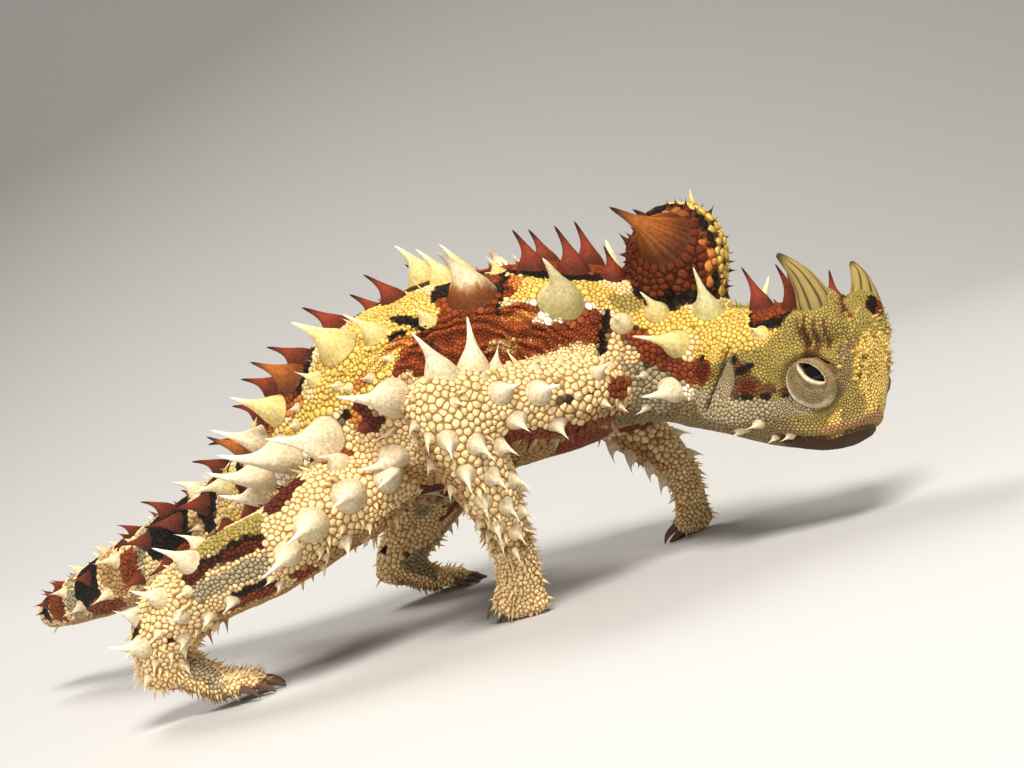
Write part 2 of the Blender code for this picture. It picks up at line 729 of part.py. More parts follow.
def build_knob(nodes, trunk, head):
    knob = loft("nuchal_knob", knob_tube(), 0.0, 1.0, KNOB_RINGS, KNOB_SIDES, round_ends=True)
    cut(knob, grown("under", trunk, 0.0, 0.3, 12, TRUNK_SIDES))
    cut(knob, grown("before", head, 0.4, 1.0, 10, HEAD_SIDES))
    nodes["nuchal_knob"] = knob


def build_limbs(nodes, trunk):
    tubes = {}
    for upper, upper_rows, lower, lower_rows, bend, lower_up in LIMBS:
        tubes[upper] = Tube(upper_rows)
        tubes[lower] = Tube(lower_rows, up=lower_up)
        for name in (upper, lower):
            nodes[name] = loft(name, tubes[name], 0.0, 1.0, LIMB_RINGS, LIMB_SIDES,
                               round_ends=True)
        plane = hinge_plane(bend, upper_rows[0][:3], lower_rows[-1][:3])
        part_at(plane, nodes[upper], nodes[lower])
        for name in (upper, lower):
            cut(nodes[name], grown("flank", trunk, 0.0, FLANK_END, FLANK_RINGS, TRUNK_SIDES))
    return tubes


def build_feet(nodes, tubes):
    """Feet with toes and claws, cut flat where they meet the floor and clear of the limb."""
    for name, shape in FEET.items():
        palm, extra = foot(name, shape)
        join(palm, extra)
        clip(palm, Vector((0, 0, 0)), Vector((0, 0, -1)))
        limb = FOOT_OWNERS[name]
        plane = hinge_plane(shape["root"], tubes[limb].centre(0.4), shape["ball"])
        part_at(plane, nodes[limb], palm)
        keep_largest(palm)
        nodes[name] = palm


class Spine:
    """One thorn: a broad root drawn out to a leaning point."""

    def __init__(self, owner, tube, share, angle, length, root, lean, aim=None):
        angle = math.radians(angle)
        self.owner = owner
        self.spot = tube.point(share, angle)
        self.out = tube.normal(share, angle)
        along = Vector(aim) if aim else tube.along(share)
        along = (along - self.out * along.dot(self.out)).normalized()
        lean = math.radians(lean)
        self.axis = (self.out * math.cos(lean) + along * math.sin(lean)).normalized()
        self.length = length
        self.root = root

    def stations(self):
        """Centres and radii up the thorn, its root sunk in the flesh."""
        bend = (self.out + self.axis).normalized()
        return (
            (self.spot - self.out * SPINE_SINK, self.root),
            (self.spot + bend * self.length * SPINE_KNEE, self.root * SPINE_KNEE_WIDTH),
            (self.spot + self.axis * self.length, 0.0),
        )

    def samples(self):
        """Balls that stand for the thorn's free part when others are kept clear of it."""
        _, (knee, thin), (tip, _) = self.stations()
        half = (self.spot + knee) / 2
        far = (knee + tip) / 2
        return ((self.spot + self.out * 0.3, self.root * 0.8), (half, self.root * 0.7),
                (knee, thin), (far, thin * 0.5), (tip, 0.05))

    def corners(self):
        """Spots around the sunk root."""
        low, wide = self.stations()[0]
        first = self.out.orthogonal().normalized()
        second = self.out.cross(first)
        turns = [2 * math.pi * k / ROOT_CORNERS for k in range(ROOT_CORNERS)]
        return [low + (first * math.cos(t) + second * math.sin(t)) * wide for t in turns]

    def build(self):
        (low, wide), (knee, thin), (tip, _) = self.stations()
        sides = 6 if self.root > SPINE_ROOT_LARGE else 5 if self.root > SPINE_ROOT_SMALL else 4
        verts = []
        for centre, radius, axis in ((low, wide, self.out), (knee, thin, self.axis)):
            first = axis.orthogonal().normalized()
            if verts:
                first = (verts[0] - low) - axis * (verts[0] - low).dot(axis)
                first.normalize()
            second = axis.cross(first)
            for k in range(sides):
                turn = 2 * math.pi * k / sides
                verts.append(centre + (first * math.cos(turn) + second * math.sin(turn)) * radius)
        verts.append(tip)
        faces = [tuple(range(sides))]
        for k in range(sides):
            after = (k + 1) % sides
            faces.append((k, after, sides + after, sides + k))
            faces.append((sides + k, sides + after, 2 * sides))
        return mesh_object("spine", verts, faces)


def trunk_owner(share):
    for name, start, end, _ in TRUNK_NODES:
        if start <= share < end:
            return name
    return "tail_tip"


def clear_of_cuts(share, root):
    """Move a thorn along the trunk until its root is on one node."""
    room = (root * ROOT_ON_ONE_NODE + CUT_MARGIN) / TRUNK_LENGTH
    for name, start, end, _ in TRUNK_NODES:
        if start <= share < end:
            low = start + room
            high = end - room
            return min(max(share, low), high)
    return share


def plan_spines(trunk, head, knob, tubes):
    """All thorns, largest first."""
    chance = random.Random(SEED)
    plan = []

    def vary(value, spread):
        return value * (1 + chance.uniform(-spread, spread))

    for rows, lean, aim in ((FLANK_SPINES, FLANK_LEAN, FLANK_AIM),
                            (SHOULDER_SPINES, SHOULDER_LEAN, SHOULDER_AIM),
                            (CREST_SPINES, CREST_LEAN, None)):
        for share, angle, length, root in rows:
            way = None if share < NECK_SHARE else aim
            spot = clear_of_cuts(share, root)
            plan.append(Spine(trunk_owner(spot), trunk, spot, angle, length, root, lean, way))
            spot = clear_of_cuts(share + chance.uniform(-SIDE_WANDER, SIDE_WANDER), root)
            length = vary(length, SIZE_WANDER)
            plan.append(Spine(trunk_owner(spot), trunk, spot, -angle, length, root, lean, way))
    for ring in range(TAIL_RINGS):
        down = ring / (TAIL_RINGS - 1)
        for i, angle in enumerate(TAIL_ANGLES):
            for side in (1, -1):
                share = TAIL_STARTS + (TAIL_ENDS - TAIL_STARTS) * (ring + 0.45 * (i % 2)) / TAIL_RINGS
                length = vary(TAIL_LENGTH[0] + (TAIL_LENGTH[1] - TAIL_LENGTH[0]) * down, SIZE_WANDER)
                root = TAIL_ROOT[0] + (TAIL_ROOT[1] - TAIL_ROOT[0]) * down
                spot = clear_of_cuts(share, root)
                plan.append(Spine(trunk_owner(spot), trunk, spot, angle * side, length, root,
                                  TAIL_LEAN))
    for share, angle, length, root, lean in HEAD_SPINES:
        for side in (1, -1):
            plan.append(Spine("head", head, share, angle * side, length, root, lean))
    for share, angle, length, root in KNOB_SPINES:
        plan.append(Spine("nuchal_knob", knob, share, angle, length, root, KNOB_LEAN, KNOB_AIM))
    for side in ("right", "left"):
        turn = 1 if side == "right" else -1
        for rows, name, aim in ((UPPER_ARM_SPINES, "upper_arm_", None),
                                (THIGH_SPINES, "thigh_", None),
                                (SHANK_SPINES, "shank_", SHANK_AIM)):
            tube = tubes[name + side]
            for share, angle, length, root, lean in rows:
                plan.append(Spine(name + side, tube, share, angle * turn,
                                  vary(length, SIZE_WANDER / 2), root, lean, aim))
        tube = tubes["forearm_" + side]
        for i, share in enumerate(FOREARM_SHARES):
            down = i / (len(FOREARM_SHARES) - 1)
            length = FOREARM_LENGTH[0] + (FOREARM_LENGTH[1] - FOREARM_LENGTH[0]) * down
            root = FOREARM_ROOT[0] + (FOREARM_ROOT[1] - FOREARM_ROOT[0]) * down
            for k, angle in enumerate(FOREARM_ANGLES):
                spot = share + 0.08 * (k % 2) - 0.04
                plan.append(Spine("forearm_" + side, tube, spot, angle * turn,
                                  vary(length, SIZE_WANDER), root, FOREARM_LEAN))
    plan.sort(key=lambda spine: -spine.length)
    return plan


def surface_tree(item):
    verts = [v.co.copy() for v in item.data.vertices]
    faces = [tuple(p.vertices) for p in item.data.polygons]
    return BVHTree.FromPolygons(verts, faces)


def is_inside(tree, spot):
    """Whether a spot lies within a closed surface, by the faces a ray from it crosses."""
    way = Vector((0.31, -0.42, 0.85)).normalized()
    start = spot.copy()
    crossed = 0
    while True:
        hit = tree.ray_cast(start, way)[0]
        if hit is None:
            return crossed % 2 == 1
        crossed += 1
        start = hit + way * 1e-3


def settle_spines(plan, nodes):
    """Keep the thorns that stand on their node and clear of all the others."""
    trees = {name: surface_tree(item) for name, item in nodes.items()}
    kept = []
    for spine in plan:
        if trees[spine.owner].find_nearest(spine.spot)[3] > SPINE_SINK * 0.6:
            continue
        clear = True
        for corner in spine.corners():
            for name, tree in trees.items():
                if name == spine.owner:
                    continue
                if tree.find_nearest(corner)[3] < ROOT_ROOM or is_inside(tree, corner):
                    clear = False
        if not clear:
            continue
        for spot, radius in spine.samples():
            if spot.z - radius < GAP:
                clear = False
            for name, tree in trees.items():
                if name == spine.owner:
                    continue
                far = tree.find_nearest(spot)[3]
                if far < radius + GAP or is_inside(tree, spot):
                    clear = False
                    break
            if not clear:
                break
        if clear:
            for other in kept:
                same = other.owner == spine.owner
                roots = (other.root + spine.root) * SPINE_CROWDING
                if same and (other.spot - spine.spot).length > roots:
                    continue
                if same:
                    clear = False
                    break
                if (other.spot - spine.spot).length > other.length + spine.length + 2:
                    continue
                for spot, radius in spine.samples():
                    for spot_b, radius_b in other.samples():
                        if (spot - spot_b).length < radius + radius_b + GAP:
                            clear = False
                if not clear:
                    break
        if clear:
            kept.append(spine)
    return kept


def paint(name, item):
    """A plain finish in the flesh's main colour."""
    kind = NODE_COLOURS.get(name) or NODE_COLOURS.get(name.split("_")[0], "cream")
    finish = bpy.data.materials.get(kind) or bpy.data.materials.new(kind)
    finish.use_nodes = True
    shader = finish.node_tree.nodes["Principled BSDF"]
    shader.inputs["Base Color"].default_value = COLOURS[kind]
    shader.inputs["Roughness"].default_value = EYE_ROUGHNESS if kind == "eye" else SKIN_ROUGHNESS
    shader.inputs["Metallic"].default_value = 0.0
    item.data.materials.clear()
    item.data.materials.append(finish)


def stand_on_origin(nodes):
    """Shift the model so that its origin is under the middle of its box, and use metres."""
    spots = [v.co for item in nodes.values() for v in item.data.vertices]
    low = Vector([min(s[i] for s in spots) for i in range(3)])
    high = Vector([max(s[i] for s in spots) for i in range(3)])
    base = Vector(((low.x + high.x) / 2, (low.y + high.y) / 2, low.z))
    turn = Matrix.Scale(METRES, 4) @ Matrix.Translation(-base)
    for item in nodes.values():
        item.data.transform(turn)
    return base


def gather(nodes):
    group = bpy.data.collections.new(MODEL_NAME)
    bpy.context.scene.collection.children.link(group)
    for name, item in nodes.items():
        item.name = name
        item.data.name = name
        for old in list(item.users_collection):
            old.objects.unlink(item)
        group.objects.link(item)
        item.data.shade_flat()


def main():
    remove_everything()
    nodes = {}
    trunk = build_trunk(nodes)
    head, core = build_head(nodes, trunk)
    part_jaw(nodes, head, core)
    build_horns(nodes, head, core)
    build_knob(nodes, trunk, head)
    tubes = build_limbs(nodes, trunk)
    build_feet(nodes, tubes)
    kept = settle_spines(plan_spines(trunk, head, knob_tube(), tubes), nodes)
    for name, item in nodes.items():
        join(item, [spine.build() for spine in kept if spine.owner == name])
        paint(name, item)
    base = stand_on_origin(nodes)
    gather(nodes)
    return nodes, kept, base


if __name__ == "__main__":
    main()
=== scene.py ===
"""The looks of a thorny devil lizard, life size and still, standing on a pale studio floor.

Lengths of the body are worked out in millimetres in the model's own place and turned into
metres at the end. Every piece is laid over the fixed frame that is loaded first."""

import math
import random

import bmesh
import bpy
import numpy as np
from mathutils import Euler, Matrix, Vector
from mathutils.bvhtree import BVHTree
from mathutils.kdtree import KDTree


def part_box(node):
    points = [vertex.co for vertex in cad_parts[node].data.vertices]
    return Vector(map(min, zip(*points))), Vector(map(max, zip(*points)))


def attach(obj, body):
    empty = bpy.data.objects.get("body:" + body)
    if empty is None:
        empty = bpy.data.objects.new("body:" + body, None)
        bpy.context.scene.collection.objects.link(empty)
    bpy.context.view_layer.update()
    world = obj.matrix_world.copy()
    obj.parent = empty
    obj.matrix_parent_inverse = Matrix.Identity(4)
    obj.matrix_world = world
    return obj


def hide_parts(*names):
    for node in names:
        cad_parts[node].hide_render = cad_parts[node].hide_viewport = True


bl_info = {
    "name": "Thorny Devil",
    "version": (1, 0, 0),
    "blender": (4, 5, 0),
    "location": "View3D > Sidebar > Thorny Devil",
    "description": "Builds the skin, scales, thorns, eyes and horns of a thorny devil",
    "category": "Add Mesh",
}

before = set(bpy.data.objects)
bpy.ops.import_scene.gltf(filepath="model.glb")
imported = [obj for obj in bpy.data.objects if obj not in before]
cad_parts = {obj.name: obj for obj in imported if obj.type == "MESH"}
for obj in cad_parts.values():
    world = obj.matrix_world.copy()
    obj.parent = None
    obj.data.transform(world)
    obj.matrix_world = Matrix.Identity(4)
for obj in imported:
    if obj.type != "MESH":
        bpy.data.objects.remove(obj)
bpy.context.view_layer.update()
BODY = "root"
MM = 0.001

# Trunk from the back of the head to the tip of the tail: x, y, top, bottom, half width
TRUNK = (
    (25.5, -3.9, 27.9, 13.6, 7.3),
    (21.5, -2.2, 29.8, 14.5, 7.5),
    (17.0, -0.8, 32.6, 15.6, 8.8),
    (12.5, 0.0, 35.6, 15.8, 11.2),
    (7.0, 0.3, 38.0, 15.2, 14.2),
    (0.0, 0.0, 39.5, 15.4, 16.2),
    (-8.0, 0.0, 40.0, 15.4, 16.8),
    (-16.0, 0.8, 38.6, 15.5, 15.6),
    (-22.5, 2.0, 35.8, 15.4, 13.2),
    (-28.5, 4.0, 32.0, 15.2, 10.8),
    (-35.0, 6.6, 28.2, 14.6, 8.2),
    (-43.0, 10.0, 25.4, 13.5, 6.6),
    (-52.0, 14.0, 23.2, 12.4, 5.8),
    (-62.0, 18.6, 21.0, 11.0, 5.1),
    (-72.0, 23.6, 18.6, 9.9, 4.4),
    (-81.0, 28.6, 16.4, 9.5, 3.4),
    (-88.0, 33.0, 14.2, 9.6, 2.2),
)
TRUNK_SQUARE = 2.25
TRUNK_LENGTH = 124.0

# Head, in its own place: origin at the joint with the neck, +X to the snout
HEAD_PLACE = (25.0, -3.0, 19.0)
HEAD_YAW = -28.0
HEAD_PITCH = 14.0
HEAD_ROLL = -14.0
HEAD = (
    (20.2, 0.0, 2.0, -4.6, 2.2),
    (19.6, 0.0, 4.6, -5.9, 3.5),
    (18.2, 0.0, 7.0, -7.0, 4.8),
    (15.8, 0.0, 8.5, -7.9, 6.1),
    (13.0, 0.0, 9.0, -8.1, 7.2),
    (9.0, 0.0, 8.6, -7.8, 8.1),
    (5.0, 0.0, 8.3, -7.2, 8.4),
    (1.0, 0.0, 8.2, -6.7, 8.0),
    (-4.0, 0.0, 8.0, -6.2, 7.3),
)
HEAD_SQUARE = 2.5
HEAD_LENGTH = 24.4

EYE_PLACE = (15.9, 5.0, 0.35)
NOSTRIL_PLACE = (20.3, 2.5, 2.4)

HORN_PATH = ((15.2, 4.8, 6.0), (15.0, 5.4, 8.6), (13.8, 6.5, 11.2), (11.8, 7.8, 13.3))
HORN_RADII = (2.2, 1.85, 1.1, 0.22)
HORN_BOSS_RADII = (3.3, 2.8, 2.3)

# Fatty knob on the nape: z, x, y, half length, half width
KNOB = (
    (27.2, 23.6, -2.4, 4.4, 4.0),
    (29.6, 23.8, -2.2, 5.2, 4.7),
    (33.6, 24.0, -1.8, 6.2, 5.6),
    (37.2, 23.6, -1.6, 5.2, 4.7),
    (39.3, 23.2, -1.5, 2.6, 2.4),
)

# Limbs: x, y, z, half width, half height, from the body outwards
LIMBS = {
    "upper_arm_right": ((13.0, -6.0, 21.8, 3.2, 3.2), (9.8, -11.6, 22.4, 4.8, 4.6),
                        (3.5, -17.5, 24.0, 4.3, 4.3), (-1.0, -20.5, 25.4, 4.2, 4.4),
                        (-4.5, -22.0, 26.2, 3.4, 3.6)),
    "forearm_right": ((-4.0, -22.4, 28.6, 3.6, 3.4), (-2.4, -21.6, 25.0, 4.7, 4.4),
                      (-1.8, -20.2, 20.5, 4.8, 4.2), (-1.4, -18.6, 16.0, 4.2, 3.7),
                      (-1.3, -17.2, 11.8, 3.3, 2.9), (-1.4, -16.2, 8.4, 2.9, 2.5)),
    "upper_arm_left": ((13.0, 5.5, 21.4, 3.4, 3.4), (11.5, 11.2, 19.8, 4.6, 4.5),
                       (8.8, 15.2, 18.0, 4.0, 4.1), (6.4, 17.8, 16.6, 3.6, 3.8)),
    "forearm_left": ((5.2, 19.0, 18.6, 3.2, 3.2), (7.6, 18.2, 16.0, 3.9, 3.8),
                     (10.2, 17.2, 12.6, 3.6, 3.4), (12.6, 15.8, 9.0, 2.9, 2.7),
                     (13.9, 14.4, 6.0, 2.5, 2.2)),
    "thigh_right": ((-13.5, -6.5, 20.6, 4.2, 4.0), (-18.0, -11.2, 19.5, 6.2, 5.8),
                    (-22.5, -15.4, 17.8, 5.8, 5.4), (-26.5, -18.4, 16.2, 5.2, 5.0),
                    (-29.5, -19.6, 15.4, 4.4, 4.6)),
    "shank_right": ((-24.0, -18.6, 16.6, 4.0, 4.4), (-28.5, -19.2, 15.8, 4.8, 5.1),
                    (-34.0, -19.6, 15.0, 4.6, 4.9), (-39.0, -19.8, 13.6, 4.2, 4.6),
                    (-43.2, -19.6, 11.0, 4.1, 4.2), (-45.0, -19.0, 7.6, 3.7, 3.6),
                    (-45.2, -18.8, 4.6, 3.2, 3.2)),
    "thigh_left": ((-24.8, 6.0, 20.4, 4.4, 4.2), (-22.6, 11.6, 19.3, 6.0, 5.7),
                   (-20.2, 16.6, 17.6, 5.2, 5.0), (-18.8, 20.4, 16.0, 4.6, 4.6)),
    "shank_left": ((-16.6, 22.4, 16.8, 4.0, 4.0), (-19.6, 22.4, 14.4, 4.7, 4.6),
                   (-23.4, 22.8, 11.4, 4.2, 4.2), (-27.0, 23.2, 8.4, 3.6, 3.6),
                   (-29.6, 23.6, 5.8, 3.2, 3.1), (-30.8, 23.8, 3.6, 2.8, 2.6)),
}

# Feet: wrist or ankle, ball of the foot, where the toes head, across, how they curl
FEET = {
    "hand_right": {
        "root": (-1.4, -16.0, 8.1), "ball": (-2.4, -14.9, 3.4), "reach": (-0.30, 0.10, -0.95),
        "across": (0.95, -0.05, -0.30), "curl": (-0.75, 0.62, -0.12), "wide": 2.9, "thick": 1.7,
        "toes": (3.0, 3.8, 4.2, 3.9, 3.0), "toe": 0.95, "spread": 22.0,
    },
    "hand_left": {
        "root": (13.9, 14.0, 5.4), "ball": (13.7, 13.4, 2.9), "reach": (-0.20, -0.15, -0.95),
        "across": (0.55, 0.80, -0.20), "curl": (-0.80, -0.40, -0.15), "wide": 2.6, "thick": 1.6,
        "toes": (2.6, 3.2, 3.6, 3.4, 2.8), "toe": 0.9, "spread": 26.0,
    },
    "foot_right": {
        "root": (-44.4, -18.8, 6.4), "ball": (-39.8, -17.6, 2.5), "reach": (0.96, 0.20, -0.12),
        "across": (-0.20, 0.98, 0.0), "curl": (0.80, 0.15, -0.50), "wide": 3.3, "thick": 2.0,
        "toes": (3.4, 4.8, 5.6, 5.2, 3.6), "toe": 1.05, "spread": 30.0,
    },
    "foot_left": {
        "root": (-29.8, 23.7, 5.3), "ball": (-25.6, 24.8, 2.1), "reach": (0.95, 0.25, -0.16),
        "across": (-0.25, 0.97, 0.0), "curl": (0.80, 0.20, -0.50), "wide": 3.2, "thick": 1.9,
        "toes": (3.4, 4.6, 5.4, 5.0, 3.6), "toe": 1.05, "spread": 36.0,
    },
}
CLAW_LENGTH = 2.3
CLAW_RADIUS = 0.5

FLESH_NODES = ("head", "lower_jaw", "neck", "nuchal_knob", "chest", "abdomen", "tail_base",
               "tail_middle", "tail_tip", "upper_arm_right", "forearm_right", "hand_right",
               "upper_arm_left", "forearm_left", "hand_left", "thigh_right", "shank_right",
               "foot_right", "thigh_left", "shank_left", "foot_left")

# What the operators share as they follow one another
WORK = {}


# Small sums on arrays

def unit(vectors):
    size = np.linalg.norm(vectors, axis=-1, keepdims=True)
    return vectors / np.maximum(size, 1e-9)


def ramp(low, high, value):
    """0 at low, 1 at high, smooth between; low may be the larger."""
    share = np.clip((np.asarray(value, float) - low) / (high - low), 0.0, 1.0)
    return share * share * (3 - 2 * share)


def hill(value, middle, spread):
    """A smooth hill of height 1 about a middle value."""
    return np.exp(-((value - middle) / spread) ** 2)


def lattice(cell, seed):
    """A fixed value from -1 to 1 for each whole-numbered cell."""
    mixed = (cell[..., 0] * 73856093) ^ (cell[..., 1] * 19349663) ^ (cell[..., 2] * 83492791)
    mixed = (mixed ^ (seed * 2654435)) & 0x7FFFFFFF
    mixed = ((mixed ^ (mixed >> 13)) * 60493) & 0x7FFFFFFF
    mixed = ((mixed ^ (mixed >> 11)) * 19073) & 0x7FFFFFFF
    return ((mixed >> 7) & 0xFFFF) / 32767.5 - 1.0


def noise(points, size, seed=1):
    """Smooth waves from -1 to 1 through space, about one size apart."""
    place = np.asarray(points, float) / size
    cell = np.floor(place).astype(np.int64)
    part = place - cell
    part = part * part * (3 - 2 * part)
    total = np.zeros(len(place))
    for corner in range(8):
        step = np.array((corner & 1, corner >> 1 & 1, corner >> 2 & 1))
        weight = np.prod(np.where(step, part, 1 - part), axis=1)
        total += weight * lattice(cell + step, seed)
    return total


def matrix_of(place, yaw, pitch, roll):
    turn = (Matrix.Rotation(math.radians(yaw), 4, "Z") @ Matrix.Rotation(math.radians(pitch), 4, "Y")
            @ Matrix.Rotation(math.radians(roll), 4, "X"))
    return np.array(Matrix.Translation(place) @ turn)


class Length:
    """A length of body with a smooth middle line and a rounded section.

    Share runs from 0 to 1 along it. Angle 0 is the top, and angles grow towards the animal's
    right where the length runs from head to tail."""

    STEP = 0.004
    SAMPLES = 161

    def __init__(self, stations, up=(0, 0, 1), square=2.0, place=None, straight=False):
        self.stations = np.array(stations, float)
        self.up = np.array(up, float)
        self.square = square
        self.place = np.eye(4) if place is None else place
        self.straight = straight

    def row(self, share):
        """Middle x, y, z, half width and half height at each share."""
        last = len(self.stations) - 1
        spot = np.clip(share, 0.0, 1.0) * last
        i = np.minimum(spot.astype(int), last - 1)
        u = (spot - i)[:, None]
        p = self.stations[np.maximum(i - 1, 0)]
        q = self.stations[i]
        r = self.stations[i + 1]
        s = self.stations[np.minimum(i + 2, last)]
        return 0.5 * (2 * q + (r - p) * u + (2 * p - 5 * q + 4 * r - s) * u * u
                      + (3 * q - p - 3 * r + s) * u ** 3)

    def axes(self, share):
        before = np.zeros_like(share) if self.straight else np.maximum(share - self.STEP, 0)
        after = np.ones_like(share) if self.straight else np.minimum(share + self.STEP, 1)
        along = unit(self.row(after)[:, :3] - self.row(before)[:, :3])
        side = unit(np.cross(along, self.up))
        return along, side, unit(np.cross(side, along))

    def point(self, share, angle, grow=0.0):
        share = np.atleast_1d(np.asarray(share, float))
        angle = np.atleast_1d(np.asarray(angle, float))
        share, angle = np.broadcast_arrays(share, angle)
        row = self.row(share)
        _, side, above = self.axes(share)
        power = 2.0 / self.square
        across = np.sign(np.sin(angle)) * np.abs(np.sin(angle)) ** power
        rise = np.sign(np.cos(angle)) * np.abs(np.cos(angle)) ** power
        spots = (row[:, :3] - side * (across * (row[:, 3] + grow))[:, None]
                 + above * (rise * (row[:, 4] + grow))[:, None])
        return spots @ self.place[:3, :3].T + self.place[:3, 3]

    def centre(self, share):
        share = np.atleast_1d(np.asarray(share, float))
        return self.row(share)[:, :3] @ self.place[:3, :3].T + self.place[:3, 3]

    def along(self, share):
        share = np.atleast_1d(np.asarray(share, float))
        return self.axes(share)[0] @ self.place[:3, :3].T

    def locate(self, spots):
        """Share, angle and distance outside the surface, for each spot."""
        local = (spots - self.place[:3, 3]) @ self.place[:3, :3]
        shares = np.linspace(0, 1, self.SAMPLES)
        line = self.row(shares)[:, :3]
        best = np.empty(len(local), int)
        for start in range(0, len(local), 20000):
            some = local[start:start + 20000]
            far = -2 * some @ line.T + np.sum(line * line, axis=1)
            best[start:start + 20000] = np.argmin(far, axis=1)
        share = shares[best]
        for _ in range(2):
            row = self.row(share)
            along, side, above = self.axes(share)
            offset = local - row[:, :3]
            pace = np.linalg.norm(self.row(np.minimum(share + 0.01, 1))[:, :3]
                                  - self.row(np.maximum(share - 0.01, 0))[:, :3], axis=1) / 0.02
            ahead = np.sum(offset * along, axis=1)
            share = np.clip(share + ahead / np.maximum(pace, 1e-6), 0, 1)
        row = self.row(share)
        along, side, above = self.axes(share)
        offset = local - row[:, :3]
        over = np.sum(offset * along, axis=1)
        across = -np.sum(offset * side, axis=1) / row[:, 3]
        rise = np.sum(offset * above, axis=1) / row[:, 4]
        ratio = (np.abs(across) ** self.square + np.abs(rise) ** self.square) ** (1 / self.square)
        ratio = np.maximum(ratio, 1e-6)
        half = self.square / 2
        angle = np.arctan2(np.sign(across) * (np.abs(across) / ratio) ** half,
                           np.sign(rise) * (np.abs(rise) / ratio) ** half)
        gap = (ratio - 1) * (row[:, 3] + row[:, 4]) / 2
        return share, angle, np.where(np.abs(over) > 0.5, np.hypot(gap, over), gap)


def from_heights(rows):
    """Stations from rows of x, y, top, bottom, half width."""
    return [(x, y, (top + low) / 2, wide, (top - low) / 2) for x, y, top, low, wide in rows]


HEAD_MATRIX = matrix_of(HEAD_PLACE, HEAD_YAW, HEAD_PITCH, HEAD_ROLL)


def head_spot(x, y, z):
    """A spot of the head's own place in the model's."""
    return HEAD_MATRIX[:3, :3] @ np.array((x, y, z), float) + HEAD_MATRIX[:3, 3]


def to_head(spots):
    return (spots - HEAD_MATRIX[:3, 3]) @ HEAD_MATRIX[:3, :3]


def palm_rows(shape):
    root = np.array(shape["root"])
    ball = np.array(shape["ball"])
    reach = unit(np.array(shape["reach"]))
    wide = shape["wide"]
    thick = shape["thick"]
    return ((*(root + (root - ball) * 0.25), wide * 0.75, thick * 1.25),
            (*root, wide * 0.85, thick * 1.2),
            (*((root + ball) / 2), wide * 0.95, thick * 1.05),
            (*ball, wide, thick * 0.9),
            (*(ball + reach * 1.2), wide * 0.75, thick * 0.6))


def toes_of(shape):
    """Points along each toe, and its claw's start and heading."""
    ball = np.array(shape["ball"])
    reach = unit(np.array(shape["reach"]))
    across = unit(np.array(shape["across"]))
    curl = unit(np.array(shape["curl"]))
    thin = shape["toe"]
    rows = []
    for i, length in enumerate(shape["toes"]):
        part = (i - 2) / 2
        angle = math.radians(shape["spread"]) * part
        way = reach * math.cos(angle) + across * math.sin(angle)
        start = ball + across * part * shape["wide"] * 0.68
        knuckle = start + way * length * 0.6
        tip = knuckle + unit(way * 0.35 + curl * 0.65) * length * 0.4
        knuckle[2] = max(knuckle[2], thin * 0.8)
        tip[2] = max(tip[2], thin * 0.62)
        rows.append(((start - way * 0.6, start + way * 0.5, knuckle, tip), unit(tip - knuckle)))
    return rows


def toe_length(points, thin):
    radii = (thin, thin * 1.05, thin, thin * 0.7)
    rows = [(*p, r, r) for p, r in zip(points, radii)]
    way = unit(points[-1] - points[0])
    return Length(rows, up=(0, 0, 1) if abs(way[2]) < 0.8 else (1, 0, 0))


def make_lengths():
    """Every length of the body by name."""
    parts = {
        "trunk": Length(from_heights(TRUNK), square=TRUNK_SQUARE),
        "head": Length(from_heights(HEAD), square=HEAD_SQUARE, place=HEAD_MATRIX, straight=True),
        "knob": Length([(x, y, z, wide, long) for z, x, y, long, wide in KNOB], up=(1, 0, 0)),
    }
    for name, rows in LIMBS.items():
        parts[name] = Length(rows, up=(1, 0, 0) if "forearm" in name else (0, 0, 1))
    for name, shape in FEET.items():
        normal = np.cross(shape["reach"], shape["across"])
        parts[name] = Length(palm_rows(shape), up=tuple(normal))
    return parts


PARTS = make_lengths()
PART_NAMES = tuple(PARTS)


def model_base():
    """Where the model's own place has its zero under the frame's, read off the right eye."""
    low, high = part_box("eye_right")
    x, y, z = EYE_PLACE
    return head_spot(x, -y, z) - np.array((low + high) / 2) / MM


BASE = model_base()


def to_metres(spots):
    return (np.asarray(spots) - BASE) * MM


def mesh_piece(name, spots, triangles, smooth=True):
    """An object from arrays of spots in the model's own millimetres and of triangles."""
    mesh = bpy.data.meshes.new(name)
    triangles = np.asarray(triangles, np.int32)
    mesh.vertices.add(len(spots))
    mesh.vertices.foreach_set("co", to_metres(spots).astype(np.float32).ravel())
    mesh.loops.add(triangles.size)
    mesh.loops.foreach_set("vertex_index", triangles.ravel())
    mesh.polygons.add(len(triangles))
    mesh.polygons.foreach_set("loop_start", np.arange(0, triangles.size, 3, dtype=np.int32))
    mesh.update(calc_edges=True)
    if smooth:
        mesh.shade_smooth()
    item = bpy.data.objects.new(name, mesh)
    bpy.context.scene.collection.objects.link(item)
    return item


def keep_value(item, name, values):
    """Store one number or one colour for each vertex."""
    values = np.asarray(values, np.float32)
    if values.ndim == 1:
        held = item.data.attributes.new(name, "FLOAT", "POINT")
        held.data.foreach_set("value", values)
    else:
        full = np.ones((len(values), 4), np.float32)
        full[:, :3] = values
        held = item.data.attributes.new(name, "FLOAT_COLOR", "POINT")
        held.data.foreach_set("color", full.ravel())


def read_value(item, name):
    held = item.data.attributes[name]
    values = np.empty(len(held.data), np.float32)
    held.data.foreach_get("value", values)
    return values


